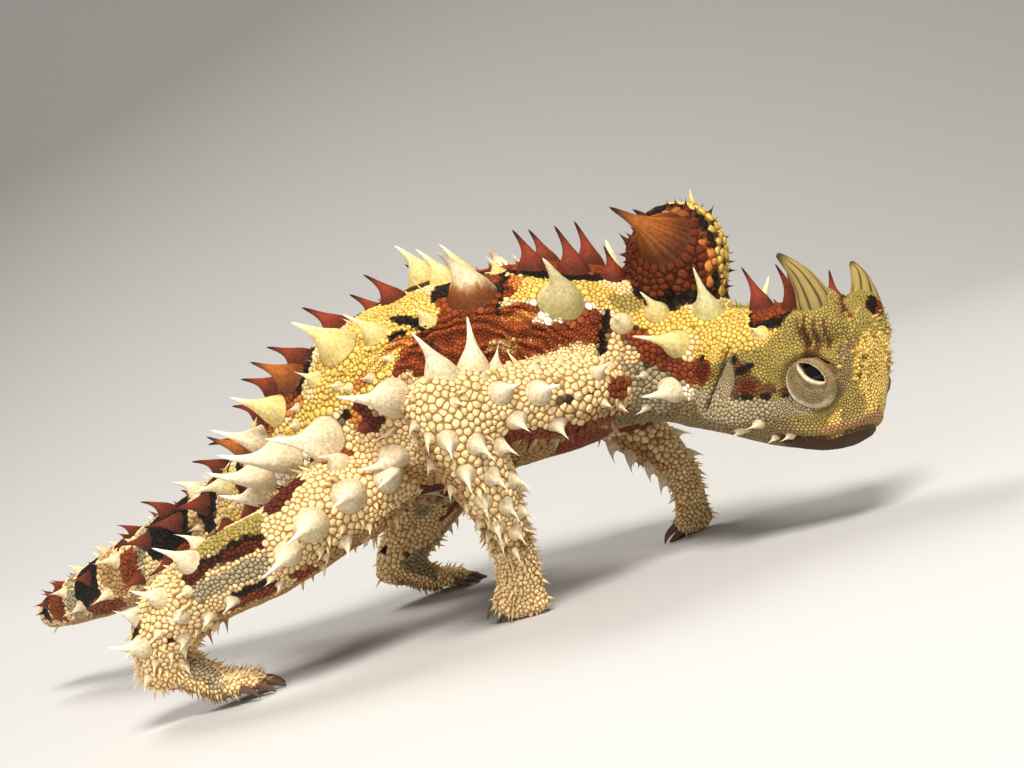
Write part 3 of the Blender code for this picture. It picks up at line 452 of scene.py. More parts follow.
def read_mesh(item):
    """Spots in the model's millimetres, vertex normals and triangles of an object."""
    mesh = item.data
    spots = np.empty(len(mesh.vertices) * 3)
    mesh.vertices.foreach_get("co", spots)
    normals = np.empty(len(mesh.vertices) * 3, np.float32)
    mesh.vertex_normals.foreach_get("vector", normals)
    mesh.calc_loop_triangles()
    triangles = np.empty(len(mesh.loop_triangles) * 3, np.int32)
    mesh.loop_triangles.foreach_get("vertices", triangles)
    return (spots.reshape(-1, 3) / MM + BASE, normals.reshape(-1, 3).astype(float),
            triangles.reshape(-1, 3))


class Clay:
    """Closed lumps that are pressed into one body."""

    def __init__(self):
        self.spots = []
        self.faces = []
        self.count = 0

    def add(self, spots, faces):
        self.spots.append(np.asarray(spots, float))
        self.faces += [tuple(i + self.count for i in face) for face in faces]
        self.count += len(spots)

    def loft(self, length, start, end, rings, sides, cap=0.35):
        shares = np.repeat(np.linspace(start, end, rings + 1), sides)
        angles = np.tile(2 * math.pi * np.arange(sides) / sides, rings + 1)
        spots = length.point(shares, angles)
        faces = []
        for i in range(rings):
            for k in range(sides):
                a = i * sides + k
                b = i * sides + (k + 1) % sides
                faces.append((a, b, b + sides, a + sides))
        tips = []
        for ring, share, way in ((0, start, -1), (rings, end, 1)):
            size = min(length.row(np.array([float(share)]))[0, 3:])
            tips.append(length.centre(share)[0] + length.along(share)[0] * cap * size * way)
            tip = len(spots) + len(tips) - 1
            for k in range(sides):
                a = ring * sides + k
                b = ring * sides + (k + 1) % sides
                faces.append((tip, b, a) if way < 0 else (tip, a, b))
        self.add(np.vstack([spots, tips]), faces)

    def ball(self, centre, radii, turn=None):
        shape = bmesh.new()
        bmesh.ops.create_icosphere(shape, subdivisions=3, radius=1.0)
        spots = np.array([v.co for v in shape.verts]) * np.array(radii)
        faces = [tuple(v.index for v in f.verts) for f in shape.faces]
        shape.free()
        if turn is not None:
            spots = spots @ turn[:3, :3].T
        self.add(spots + np.array(centre), faces)


def press_clay(clay, voxel):
    """One closed skin round all the lumps, as spots and triangles' object."""
    mesh = bpy.data.meshes.new("skin")
    mesh.from_pydata([tuple(p) for p in np.vstack(clay.spots)], [], clay.faces)
    item = bpy.data.objects.new("skin", mesh)
    bpy.context.scene.collection.objects.link(item)
    change = item.modifiers.new("press", "REMESH")
    change.mode = "VOXEL"
    change.voxel_size = voxel
    bpy.context.view_layer.update()
    ready = item.evaluated_get(bpy.context.evaluated_depsgraph_get())
    pressed = bpy.data.meshes.new_from_object(ready)
    item.modifiers.clear()
    item.data = pressed
    bpy.data.meshes.remove(mesh)
    return item


def relax(spots, edges, rounds, amount=0.5, weight=None):
    """Even out spots along their edges."""
    count = np.bincount(edges.ravel(), minlength=len(spots)).astype(float)
    count = np.maximum(count, 1)
    for _ in range(rounds):
        total = np.empty_like(spots)
        for axis in range(3):
            total[:, axis] = (
                np.bincount(edges[:, 0], spots[edges[:, 1], axis], len(spots))
                + np.bincount(edges[:, 1], spots[edges[:, 0], axis], len(spots)))
        step = (total / count[:, None] - spots) * amount
        spots = spots + (step if weight is None else step * weight[:, None])
    return spots


def edges_of(mesh):
    edges = np.empty(len(mesh.edges) * 2, np.int32)
    mesh.edges.foreach_get("vertices", edges)
    return edges.reshape(-1, 2)


def whose(spots):
    """For each spot the part it belongs to, its share and angle on it."""
    best = np.full(len(spots), np.inf)
    owner = np.zeros(len(spots), int)
    share = np.zeros(len(spots))
    angle = np.zeros(len(spots))
    for i, name in enumerate(PART_NAMES):
        s, a, gap = PARTS[name].locate(spots)
        if name in FEET:
            away = np.linalg.norm(spots - np.array(FEET[name]["ball"]), axis=1)
            gap = np.where(away < 9.0, np.minimum(gap, away - 6.5), gap)
        nearer = gap < best
        best[nearer] = gap[nearer]
        owner[nearer] = i
        share[nearer] = s[nearer]
        angle[nearer] = a[nearer]
    return owner, share, angle


def is_part(owner, *names):
    return np.isin(owner, [PART_NAMES.index(name) for name in names])


def body_clay(thorns):
    clay = Clay()
    clay.loft(PARTS["trunk"], 0.0, 1.0, 110, 48)
    clay.loft(PARTS["head"], 0.0, 1.0, 36, 48)
    clay.loft(PARTS["knob"], 0.0, 1.0, 20, 40)
    for name in LIMBS:
        clay.loft(PARTS[name], 0.0, 1.0, 24, 32)
    for name, shape in FEET.items():
        clay.loft(PARTS[name], 0.0, 1.0, 14, 24)
        for points, _ in toes_of(shape):
            clay.loft(toe_length(points, shape["toe"]), 0.0, 1.0, 12, 14)
    turn = HEAD_MATRIX
    for side in (-1, 1):
        x, _, z = EYE_PLACE
        clay.ball(head_spot(x, TURRET_SET * side, z - 0.5), (2.9, 1.8, 2.8), turn)
        x, y, z = HORN_PATH[0]
        clay.ball(head_spot(x, y * side, z), HORN_BOSS_RADII, turn)
        clay.ball(head_spot(15.4, 4.2 * side, 7.6), (2.9, 2.2, 2.6), turn)
        clay.ball(head_spot(18.0, 3.0 * side, 5.2), (1.9, 1.6, 2.0), turn)
        clay.ball(head_spot(5.5, 6.6 * side, -3.6), (4.2, 2.4, 3.0), turn)
    for thorn in thorns:
        if thorn.root > 1.9 and thorn.mound:
            clay.ball(thorn.spot - thorn.out * thorn.root * 0.62, (thorn.root * 1.12,) * 3)
    return clay


# Thorns as share, angle, length, root radius, tone; the left side has the same, a little varied
CREST_THORNS = (
    (0.166, 15, 3.8, 1.4, "rust"), (0.208, 14, 5.6, 1.9, "rust"), (0.258, 14, 5.0, 1.8, "rust"),
    (0.292, 18, 2.4, 1.0, "yellow"), (0.338, 14, 5.0, 1.8, "yellow"), (0.376, 20, 4.6, 1.6, "rust"),
    (0.428, 20, 5.0, 1.9, "rust"), (0.474, 22, 4.4, 1.7, "rust"), (0.517, 24, 4.6, 1.7, "rust"),
    (0.556, 24, 4.2, 1.6, "rust"),
)
MIDDLE_THORNS = ((0.362, 0, 5.6, 2.2, "yellow"),)
SHOULDER_THORNS = (
    (0.082, 40, 3.4, 1.4, "yellow"), (0.125, 60, 2.6, 1.3, "pale"), (0.210, 51, 6.4, 2.6, "olive"),
    (0.308, 40, 6.0, 2.7, "mixed"), (0.343, 52, 2.6, 1.1, "yellow"), (0.382, 50, 4.4, 1.6, "yellow"),
    (0.414, 48, 5.8, 2.5, "yellow"), (0.440, 60, 2.6, 1.1, "yellow"), (0.467, 48, 5.2, 2.0, "amber"),
    (0.493, 62, 5.6, 2.0, "yellow"), (0.530, 70, 6.0, 1.9, "white"), (0.566, 62, 5.4, 1.8, "amber"),
)
FLANK_THORNS = (
    (0.030, 66, 5.0, 1.6, "yellow"), (0.040, 105, 3.4, 1.6, "white"), (0.150, 96, 2.0, 0.9, "white"),
    (0.378, 88, 6.6, 2.3, "white"), (0.398, 116, 4.4, 1.8, "white"), (0.447, 92, 7.0, 2.5, "white"),
    (0.502, 90, 8.2, 2.5, "white"), (0.549, 90, 7.0, 2.2, "white"), (0.585, 98, 5.0, 1.7, "white"),
)
FLANK_LEAN = 52.0
FLANK_AIM = (-0.92, 0.0, 0.42)
SHOULDER_LEAN = 32.0
SHOULDER_AIM = (-0.80, 0.0, 0.55)
NECK_SHARE = 0.16
CREST_LEAN = 28.0
TAIL_STARTS = 0.615
TAIL_ENDS = 0.985
TAIL_RINGS = 8
TAIL_ANGLES = (24, 66, 106)
TAIL_THORN = (5.0, 2.2)
TAIL_ROOT = (1.6, 0.9)
TAIL_LEAN = 44.0
SIDE_WANDER = 0.006
SIZE_WANDER = 0.12
HEAD_THORNS = (
    (0.88, 34, 5.6, 1.7, 2.0, "olive"), (0.70, 20, 5.0, 1.4, 22.0, "rust"),
    (0.56, 25, 5.0, 1.5, 16.0, "rust"), (0.62, 62, 1.6, 0.9, 40.0, "yellow"),
    (0.60, 128, 1.6, 0.7, 50.0, "white"), (0.66, 134, 1.8, 0.8, 50.0, "white"),
    (0.50, 140, 1.3, 0.6, 40.0, "white"), (0.56, 144, 1.1, 0.5, 40.0, "white"),
)
KNOB_THORNS = ((0.68, 92, 6.6, 3.1), (0.68, -92, 6.6, 3.1))
KNOB_LEAN = 54.0
KNOB_AIM = (-0.85, 0.0, 0.85)
UPPER_ARM_THORNS = (
    (0.24, 66, 2.6, 1.0, -20), (0.44, 82, 3.0, 1.5, -28), (0.58, 75, 2.8, 1.4, -28),
    (0.52, 122, 3.0, 1.2, -10), (0.38, 138, 2.4, 1.1, -10), (0.84, 22, 5.4, 1.9, 20),
    (0.66, 6, 5.4, 1.8, 8), (0.55, 12, 2.6, 0.9, -8),
)
FOREARM_ANGLES = (-14, -50, -86, 158)
FOREARM_SHARES = (0.30, 0.47, 0.64, 0.81)
FOREARM_THORN = (2.9, 2.1)
FOREARM_ROOT = (1.2, 0.95)
FOREARM_LEAN = 42.0
THIGH_THORNS = (
    (0.22, 88, 4.6, 1.9, 55), (0.41, 80, 4.8, 2.0, 50), (0.62, 82, 5.8, 2.0, 50),
    (0.78, 98, 4.6, 1.6, 50), (0.52, 132, 2.6, 1.0, 30), (0.34, 36, 3.2, 1.3, 40),
)
SHANK_THORNS = (
    (0.39, 45, 4.4, 1.5, 44), (0.54, 62, 3.4, 1.3, 44), (0.66, 40, 3.0, 1.2, 40),
    (0.72, 88, 3.6, 1.4, 40), (0.52, 108, 2.4, 1.0, 36), (0.32, 130, 2.2, 0.9, 30),
    (0.44, 136, 2.2, 0.9, 30), (0.60, 140, 2.2, 0.9, 30), (0.36, 10, 3.0, 1.1, 40),
)
SHANK_AIM = (-0.85, 0.0, 0.50)
THORN_SEED = 41
TIP_GAP = 0.25
STOUT_LENGTH = 4.5
ROOT_MAY_SINK = 2.2
BROAD_ROOT = 1.25
DRAPED_ROOT = 0.5

# Small thorns strewn between the large: part, first and last share, first and last angle,
# how many, length, root radius, lean
STREWN = (
    ("upper_arm_right", 0.15, 0.95, 20, 170, 26, 1.5, 0.62, 20),
    ("upper_arm_left", 0.15, 0.95, -170, -20, 22, 1.4, 0.6, 20),
    ("forearm_right", 0.10, 0.98, -170, 20, 44, 1.6, 0.66, 40),
    ("forearm_left", 0.10, 0.98, -20, 170, 40, 1.4, 0.6, 40),
    ("thigh_right", 0.15, 0.95, 40, 160, 20, 1.5, 0.62, 45),
    ("thigh_left", 0.15, 0.95, -160, -40, 20, 1.5, 0.62, 45),
    ("shank_right", 0.42, 0.98, 30, 175, 46, 1.7, 0.62, 42),
    ("shank_left", 0.30, 0.98, -175, -30, 40, 1.6, 0.6, 42),
    ("trunk", 0.36, 0.58, 100, 124, 22, 1.7, 0.6, 50),
    ("trunk", 0.36, 0.58, -124, -100, 22, 1.7, 0.6, 50),
    ("trunk", 0.17, 0.36, 112, 146, 22, 1.5, 0.6, 30),
    ("trunk", 0.17, 0.36, -146, -112, 22, 1.5, 0.6, 30),
    ("trunk", 0.34, 0.58, 24, 96, 26, 1.6, 0.7, 40),
    ("trunk", 0.34, 0.58, -96, -24, 26, 1.6, 0.7, 40),
    ("trunk", 0.02, 0.15, 84, 128, 14, 1.3, 0.6, 40),
    ("trunk", 0.02, 0.15, -128, -84, 14, 1.3, 0.6, 40),
    ("trunk", 0.60, 0.98, -120, 120, 70, 1.6, 0.55, 44),
    ("head", 0.03, 0.34, -66, 66, 90, 0.75, 0.24, -16),
    ("head", 0.12, 0.30, 55, 88, 24, 0.7, 0.24, -30),
    ("head", 0.12, 0.30, -88, -55, 24, 0.7, 0.24, -30),
    ("knob", 0.10, 0.98, -180, 180, 150, 0.95, 0.30, 10),
    ("trunk", 0.17, 0.33, -24, 24, 60, 0.8, 0.3, 20),
)
STREWN_TONES = {"head": "face", "knob": "dark"}


class Thorn:
    """One thorn: a broad root drawn out to a leaning point."""

    def __init__(self, part, share, angle, length, root, lean, aim=None, mound=True, tone=None):
        self.part = part
        self.tone = tone
        self.share = share
        self.angle = math.radians(angle)
        self.length = length
        self.root = root
        self.mound = mound
        body = PARTS[part]
        self.spot = body.point(share, self.angle)[0]
        round_it = body.point(share, self.angle + 0.03)[0] - body.point(share, self.angle - 0.03)[0]
        down_it = (body.point(min(share + 0.01, 1.0), self.angle)[0]
                   - body.point(max(share - 0.01, 0.0), self.angle)[0])
        out = unit(np.cross(down_it, round_it))
        if np.dot(out, self.spot - body.centre(share)[0]) < 0:
            out = -out
        self.out = out
        along = body.along(share)[0] if aim is None else np.array(aim)
        along = unit(along - out * np.dot(along, out))
        lean = math.radians(lean)
        self.axis = unit(out * math.cos(lean) + along * math.sin(lean))

    def settle(self, tree):
        """Bring the root onto the skin."""
        start = Vector(self.spot + self.out * (self.root * 0.6 + 0.8))
        hit = tree.ray_cast(start, Vector(-self.out), self.root + 3.5)[0]
        if hit is None:
            hit = tree.find_nearest(Vector(self.spot))[0]
        moved = np.array(hit)
        self.length = max(self.length - np.dot(moved - self.spot, self.out) * 0.5, 0.5)
        self.spot = moved


def large_thorns():
    """The thorns that the solids have too."""
    chance = random.Random(THORN_SEED)
    plan = []

    def vary(value, spread):
        return value * (1 + chance.uniform(-spread, spread))

    for rows, lean, aim in ((FLANK_THORNS, FLANK_LEAN, FLANK_AIM),
                            (SHOULDER_THORNS, SHOULDER_LEAN, SHOULDER_AIM),
                            (CREST_THORNS, CREST_LEAN, None)):
        for share, angle, length, root, tone in rows:
            way = None if share < NECK_SHARE else aim
            plan.append(Thorn("trunk", share, angle, length, root, lean, way, tone=tone))
            other = share + chance.uniform(-SIDE_WANDER, SIDE_WANDER)
            plan.append(Thorn("trunk", other, -angle, vary(length, SIZE_WANDER), root, lean, way,
                              tone=tone))
    for share, angle, length, root, tone in MIDDLE_THORNS:
        plan.append(Thorn("trunk", share, angle, length, root, CREST_LEAN, tone=tone))
    for ring in range(TAIL_RINGS):
        down = ring / (TAIL_RINGS - 1)
        for i, angle in enumerate(TAIL_ANGLES):
            for side in (1, -1):
                reach = (ring + 0.45 * (i % 2)) / TAIL_RINGS
                share = TAIL_STARTS + (TAIL_ENDS - TAIL_STARTS) * reach
                length = vary(TAIL_THORN[0] + (TAIL_THORN[1] - TAIL_THORN[0]) * down, SIZE_WANDER)
                root = TAIL_ROOT[0] + (TAIL_ROOT[1] - TAIL_ROOT[0]) * down
                plan.append(Thorn("trunk", share, angle * side, length, root, TAIL_LEAN))
    for share, angle, length, root, lean, tone in HEAD_THORNS:
        for side in (1, -1):
            plan.append(Thorn("head", share, angle * side, length, root, lean, tone=tone))
    for share, angle, length, root in KNOB_THORNS:
        plan.append(Thorn("knob", share, angle, length, root, KNOB_LEAN, KNOB_AIM, mound=False,
                          tone="amber"))
    for side in ("right", "left"):
        turn = 1 if side == "right" else -1
        for rows, name, aim in ((UPPER_ARM_THORNS, "upper_arm_", None),
                                (THIGH_THORNS, "thigh_", None),
                                (SHANK_THORNS, "shank_", SHANK_AIM)):
            for share, angle, length, root, lean in rows:
                length = vary(length, SIZE_WANDER / 2)
                plan.append(Thorn(name + side, share, angle * turn, length, root, lean, aim,
                                  tone="white"))
        for i, share in enumerate(FOREARM_SHARES):
            down = i / (len(FOREARM_SHARES) - 1)
            length = FOREARM_THORN[0] + (FOREARM_THORN[1] - FOREARM_THORN[0]) * down
            root = FOREARM_ROOT[0] + (FOREARM_ROOT[1] - FOREARM_ROOT[0]) * down
            for k, angle in enumerate(FOREARM_ANGLES):
                spot = share + 0.08 * (k % 2) - 0.04
                plan.append(Thorn("forearm_" + side, spot, angle * turn,
                                  vary(length, SIZE_WANDER), root, FOREARM_LEAN, tone="white"))
    return [t for t in plan if clear_of_others(t)]


def clear_of_others(thorn):
    """Whether a thorn lies outside every other part of the body; a stout one may start in it."""
    spots = np.array((thorn.spot + thorn.out * 0.4, thorn.spot + thorn.axis * thorn.length * 0.6,
                      thorn.spot + thorn.axis * thorn.length))
    least = np.array((-ROOT_MAY_SINK if thorn.length > STOUT_LENGTH else TIP_GAP, TIP_GAP, TIP_GAP))
    for name, part in PARTS.items():
        if name == thorn.part or name in FEET:
            continue
        if (part.locate(spots)[2] < least).any():
            return False
    return spots[:, 2].min() > 0.4


def strewn_thorns(large, seed):
    """Small thorns at chance places, clear of the large ones and of each other."""
    chance = random.Random(seed)
    kept = []
    for part, s0, s1, a0, a1, count, length, root, lean in STREWN:
        for _ in range(count):
            thorn = Thorn(part, chance.uniform(s0, s1), chance.uniform(a0, a1),
                          length * chance.uniform(0.65, 1.35), root * chance.uniform(0.8, 1.2),
                          lean * chance.uniform(0.6, 1.3), mound=False,
                          tone=STREWN_TONES.get(part))
            near = [t for t in large + kept
                    if np.linalg.norm(t.spot - thorn.spot) < t.root * 1.12 + thorn.root + 0.15]
            if not near and clear_of_others(thorn):
                kept.append(thorn)
    return kept


# Widths up a broad thorn, at even steps from root to point: a dome drawn out to a spike
DOME_WIDTHS = (1.0, 0.91, 0.765, 0.59, 0.43, 0.315, 0.235, 0.175, 0.13, 0.085, 0.04)


def thorn_spots(thorn, sides, chance, tree):
    """Rings up a thorn, from under the skin to its point, and how far up each spot is."""
    out = thorn.out
    axis = thorn.axis
    root = thorn.spot
    middle = root + unit(out * 0.75 + axis * 0.5) * thorn.length * 0.42
    tip = root + axis * thorn.length
    first = unit(axis - out * np.dot(axis, out) + out.take((1, 2, 0)) * 1e-3)
    first = unit(first - out * np.dot(first, out))
    spin = chance.uniform(0, 2 * math.pi)
    wave = chance.uniform(0.0, 0.035)
    spots = []
    rise = []
    broad = thorn.root > BROAD_ROOT
    bulge = 0.04 * thorn.root
    drape = drape_of(thorn, first, sides, tree) if thorn.root > DRAPED_ROOT else np.zeros(sides)
    rings = [(-0.3 * thorn.root, 1.06, -1), (0.0, 1.03, 0.0), (bulge, 0.99, 0.03)]
    steps = 14
    for i in range(1, steps):
        u = i / steps
        slim = 0.83 * (1 - u) ** 2.3 + 0.115 * (1 - u) ** 0.8
        dome = float(np.interp(u, np.linspace(0, 1, len(DOME_WIDTHS)), DOME_WIDTHS)) * 0.96
        rings.append((None, dome if broad else slim, u))
    for height, width, u in rings:
        if height is not None:
            centre = root + out * height
            normal = out
        else:
            base = root + out * bulge
            centre = base * (1 - u) ** 2 + middle * 2 * u * (1 - u) + tip * u * u
            tangent = unit((middle - base) * (1 - u) + (tip - middle) * u)
            normal = unit(out * (1 - u) ** 2 + tangent * (1 - (1 - u) ** 2))
        side = unit(np.cross(normal, first))
        front = unit(np.cross(side, normal))
        for k in range(sides):
            turn = 2 * math.pi * k / sides
            size = thorn.root * width * (1 + wave * math.cos(3 * turn + spin))
            sag = out * drape[k] * (1 - max(u, 0.0)) ** 3
            spots.append(centre + (front * math.cos(turn) * 1.06 + side * math.sin(turn)) * size
                         + sag)
            rise.append(max(u, 0.0))
    spots.append(tip)
    rise.append(1.0)
    return np.array(spots), np.array(rise), len(rings)


def drape_of(thorn, first, sides, tree):
    """How far the skin lies above or below a thorn's root, all round its foot."""
    second = np.cross(thorn.out, first)
    drape = np.zeros(sides)
    for k in range(sides):
        turn = 2 * math.pi * k / sides
        way = first * math.cos(turn) + second * math.sin(turn)
        start = thorn.spot + way * thorn.root + thorn.out * 1.6
        hit = tree.ray_cast(Vector(start), Vector(-thorn.out), 4.5)[0]
        if hit is not None:
            drape[k] = np.clip(np.dot(np.array(hit) - thorn.spot, thorn.out), -1.5, 1.0)
    return drape


def tube_triangles(rings, sides, first=0):
    """Triangles of a tube of rings that closes on one last spot."""
    faces = []
    for i in range(rings - 1):
        for k in range(sides):
            a = first + i * sides + k
            b = first + i * sides + (k + 1) % sides
            faces.append((a, b, b + sides))
            faces.append((a, b + sides, a + sides))
    last = first + (rings - 1) * sides
    for k in range(sides):
        faces.append((last + k, last + (k + 1) % sides, first + rings * sides))
    return faces


# Folds and creases pressed into the skin

MOUTH_STARTS = 11.0
MOUTH_Z = -6.4
MOUTH_BEND = 12.5
MOUTH_RISE = 0.0043
MOUTH_GROOVE = 0.30
MOUTH_WIDTH = 0.17
EAR_DEPTH = 0.32
EAR_SPOT = (6.1, -0.2)
EAR_SIZE = (1.1, 2.05)
JAW_CREASE_X = 4.75
JAW_CREASE_TURN = 0.36
JAW_CREASE_DEPTH = 0.7
EYE_HOLE = (2.4, 1.5)
EYE_HOLE_DEPTH = 1.7
LID_CENTRE = (16.12, 0.75)
TURRET_CENTRE = (15.35, -0.58)
TURRET_RING = 2.9
TURRET_SET = 4.95
DISC_SINK = 0.6
BALL_PLACE = (15.9, 5.1, 0.52)
BALL_RADIUS = 1.85
NECK_CREASE_SHARE = 0.152
NECK_CREASE_DEPTH = 0.75
WRINKLE_PACE = 1.35
WRINKLE_DEPTH = 0.38


def mouth_height(x):
    return MOUTH_Z + MOUTH_RISE * max(x - MOUTH_BEND, 0.0) ** 3


def mouth_heights(x):
    return MOUTH_Z + MOUTH_RISE * np.maximum(x - MOUTH_BEND, 0.0) ** 3


def head_folds(spots):
    """How far each spot of the head moves along its normal."""
    local = to_head(spots)
    x = local[:, 0]
    side = np.abs(local[:, 1])
    z = local[:, 2]
    move = np.zeros(len(x))
    over = z - mouth_heights(x)
    inside = ramp(MOUTH_STARTS - 0.6, MOUTH_STARTS + 0.5, x)
    move += inside * (-MOUTH_GROOVE * hill(over, 0.0, MOUTH_WIDTH) + 0.14 * hill(over, 0.7, 0.4)
                      + 0.10 * hill(over, -0.6, 0.35))
    ear = np.hypot((x - EAR_SPOT[0]) / EAR_SIZE[0], (z - EAR_SPOT[1]) / EAR_SIZE[1])
    flank = ramp(3.4, 4.6, side)
    move += flank * (-EAR_DEPTH * ramp(1.05, 0.85, ear) + 0.12 * hill(ear, 1.3, 0.2))
    crease = x - JAW_CREASE_X - JAW_CREASE_TURN * (z - EAR_SPOT[1])
    move += (-JAW_CREASE_DEPTH * flank * hill(crease, 0.0, 0.42) * ramp(-4.6, -3.4, z)
             * ramp(3.6, 2.6, z))
    move += 0.18 * flank * hill(crease, -0.9, 0.5) * ramp(-4.6, -3.4, z) * ramp(3.6, 2.6, z)
    x0, y0, z0 = NOSTRIL_PLACE
    pit = np.sqrt((side - y0) ** 2 + (z - z0) ** 2)
    move += ramp(18.5, 19.5, x) * (-0.6 * ramp(0.55, 0.2, pit) + 0.18 * hill(pit, 0.8, 0.25))
    hole = np.hypot((x - LID_CENTRE[0]) / EYE_HOLE[0], (z - LID_CENTRE[1]) / EYE_HOLE[1])
    move += -EYE_HOLE_DEPTH * flank * ramp(1.05, 0.8, hole) * ramp(9.0, 10.0, x)
    ring = np.hypot(x - TURRET_CENTRE[0], z - TURRET_CENTRE[1])
    move -= (DISC_SINK * flank * ramp(LID_OUTER + 0.05, LID_OUTER - 0.35, ring)
             * ramp(9.5, 11.0, x))
    move += -0.28 * flank * hill(ring, TURRET_RING, 0.24) * ramp(9.5, 11.0, x)
    move += (0.30 * flank * hill(ring, TURRET_RING + 0.7, 0.45) * ramp(-0.5, 1.8, z)
             * ramp(9.5, 11.0, x))
    return move


def flank_ridges(spots, owner, share, angle):
    """Where the flanks are wrinkled lengthwise, and how high on a ridge each spot is."""
    trunk = is_part(owner, "trunk")
    turn = np.degrees(np.abs(angle))
    girth = np.hypot(*PARTS["trunk"].row(share)[:, 3:].T) / math.sqrt(2)
    down = np.radians(turn) * girth
    wave = (down / WRINKLE_PACE + 1.3 * noise(spots, 4.2, 11) + 0.5 * noise(spots, 1.4, 13)
            + 0.05 * share * TRUNK_LENGTH)
    ridges = 1 - np.abs(2 * (wave % 1.0) - 1)
    flank = (trunk * ramp(0.165, 0.2, share) * ramp(0.41, 0.36, share)
             * ramp(46, 56, turn) * ramp(94, 82, turn))
    return flank, ridges


def body_folds(spots, owner, share, angle):
    """Creases and wrinkles of the neck, flanks, belly and limbs."""
    move = 0.10 * noise(spots, 3.2, 5) + 0.05 * noise(spots, 1.3, 6)
    trunk = is_part(owner, "trunk")
    turn = np.degrees(np.abs(angle))
    crease = NECK_CREASE_SHARE + 0.012 * np.sin(np.radians(turn) * 2.3) + 0.004 * noise(spots, 4, 9)
    move += (-NECK_CREASE_DEPTH * trunk * hill((share - crease) * TRUNK_LENGTH, 0.0, 0.55)
             * ramp(38, 55, turn) * ramp(128, 105, turn))
    flank, ridges = flank_ridges(spots, owner, share, angle)
    move += flank * WRINKLE_DEPTH * (1.25 * ridges ** 1.3 - 0.8)
    loose = trunk * ramp(92, 104, turn) * ramp(0.19, 0.23, share) * ramp(0.58, 0.5, share)
    move += loose * 0.14 * noise(spots * np.array((0.6, 1.0, 1.0)), 1.6, 12)
    return move


def refine(item, wanted):
    """Cut the faces whose centres are wanted into four."""
    shape = bmesh.new()
    shape.from_mesh(item.data)
    centres = np.array([f.calc_center_median() for f in shape.faces])
    chosen = wanted(centres)
    edges = set()
    for face, take in zip(shape.faces, chosen):
        if take:
            edges.update(face.edges)
    bmesh.ops.subdivide_edges(shape, edges=list(edges), cuts=1, use_grid_fill=True)
    bmesh.ops.triangulate(shape, faces=shape.faces)
    shape.to_mesh(item.data)
    shape.free()
    item.data.update()


def make_skin(sizes):
    """The one skin that replaces the flesh: pressed, smoothed, folded and sunk a little."""
    item = press_clay(body_clay(large_thorns()), sizes.skin_grain / MM)

    def face_and_flanks(centres):
        x = to_head(centres)[:, 0]
        near_head = np.linalg.norm(centres - head_spot(10, 0, 0), axis=1) < 15.0
        flank = ((centres[:, 0] > -17.0) & (centres[:, 0] < 9.0) & (centres[:, 2] > 21.0)
                 & (centres[:, 2] < 36.5) & (np.abs(centres[:, 1]) > 10.0))
        return (near_head & (x > 1.0)) | (flank & (np.abs(centres[:, 1]) < 19.0))

    refine(item, face_and_flanks)
    mesh = item.data
    spots = np.empty(len(mesh.vertices) * 3)
    mesh.vertices.foreach_get("co", spots)
    spots = relax(spots.reshape(-1, 3), edges_of(mesh), 5)
    mesh.vertices.foreach_set("co", spots.astype(np.float32).ravel())
    mesh.update()
    normals = np.empty(len(mesh.vertices) * 3, np.float32)
    mesh.vertex_normals.foreach_get("vector", normals)
    normals = normals.reshape(-1, 3).astype(float)
    owner, share, angle = whose(spots)
    move = np.where(is_part(owner, "head"), head_folds(spots), 0.0)
    move += body_folds(spots, owner, share, angle)
    feet = is_part(owner, *FEET)
    move = np.where(feet, move * 0.4, move) - sizes.coat_depth / MM * np.where(feet, 0.4, 1.0)
    spots = spots + normals * move[:, None]
    spots[:, 2] = np.maximum(spots[:, 2], 0.05)
    mesh.vertices.foreach_set("co", to_metres(spots).astype(np.float32).ravel())
    mesh.shade_smooth()
    mesh.update()
    for name, values in (("part", owner), ("share", share), ("angle", angle)):
        keep_value(item, name, values)
    return item
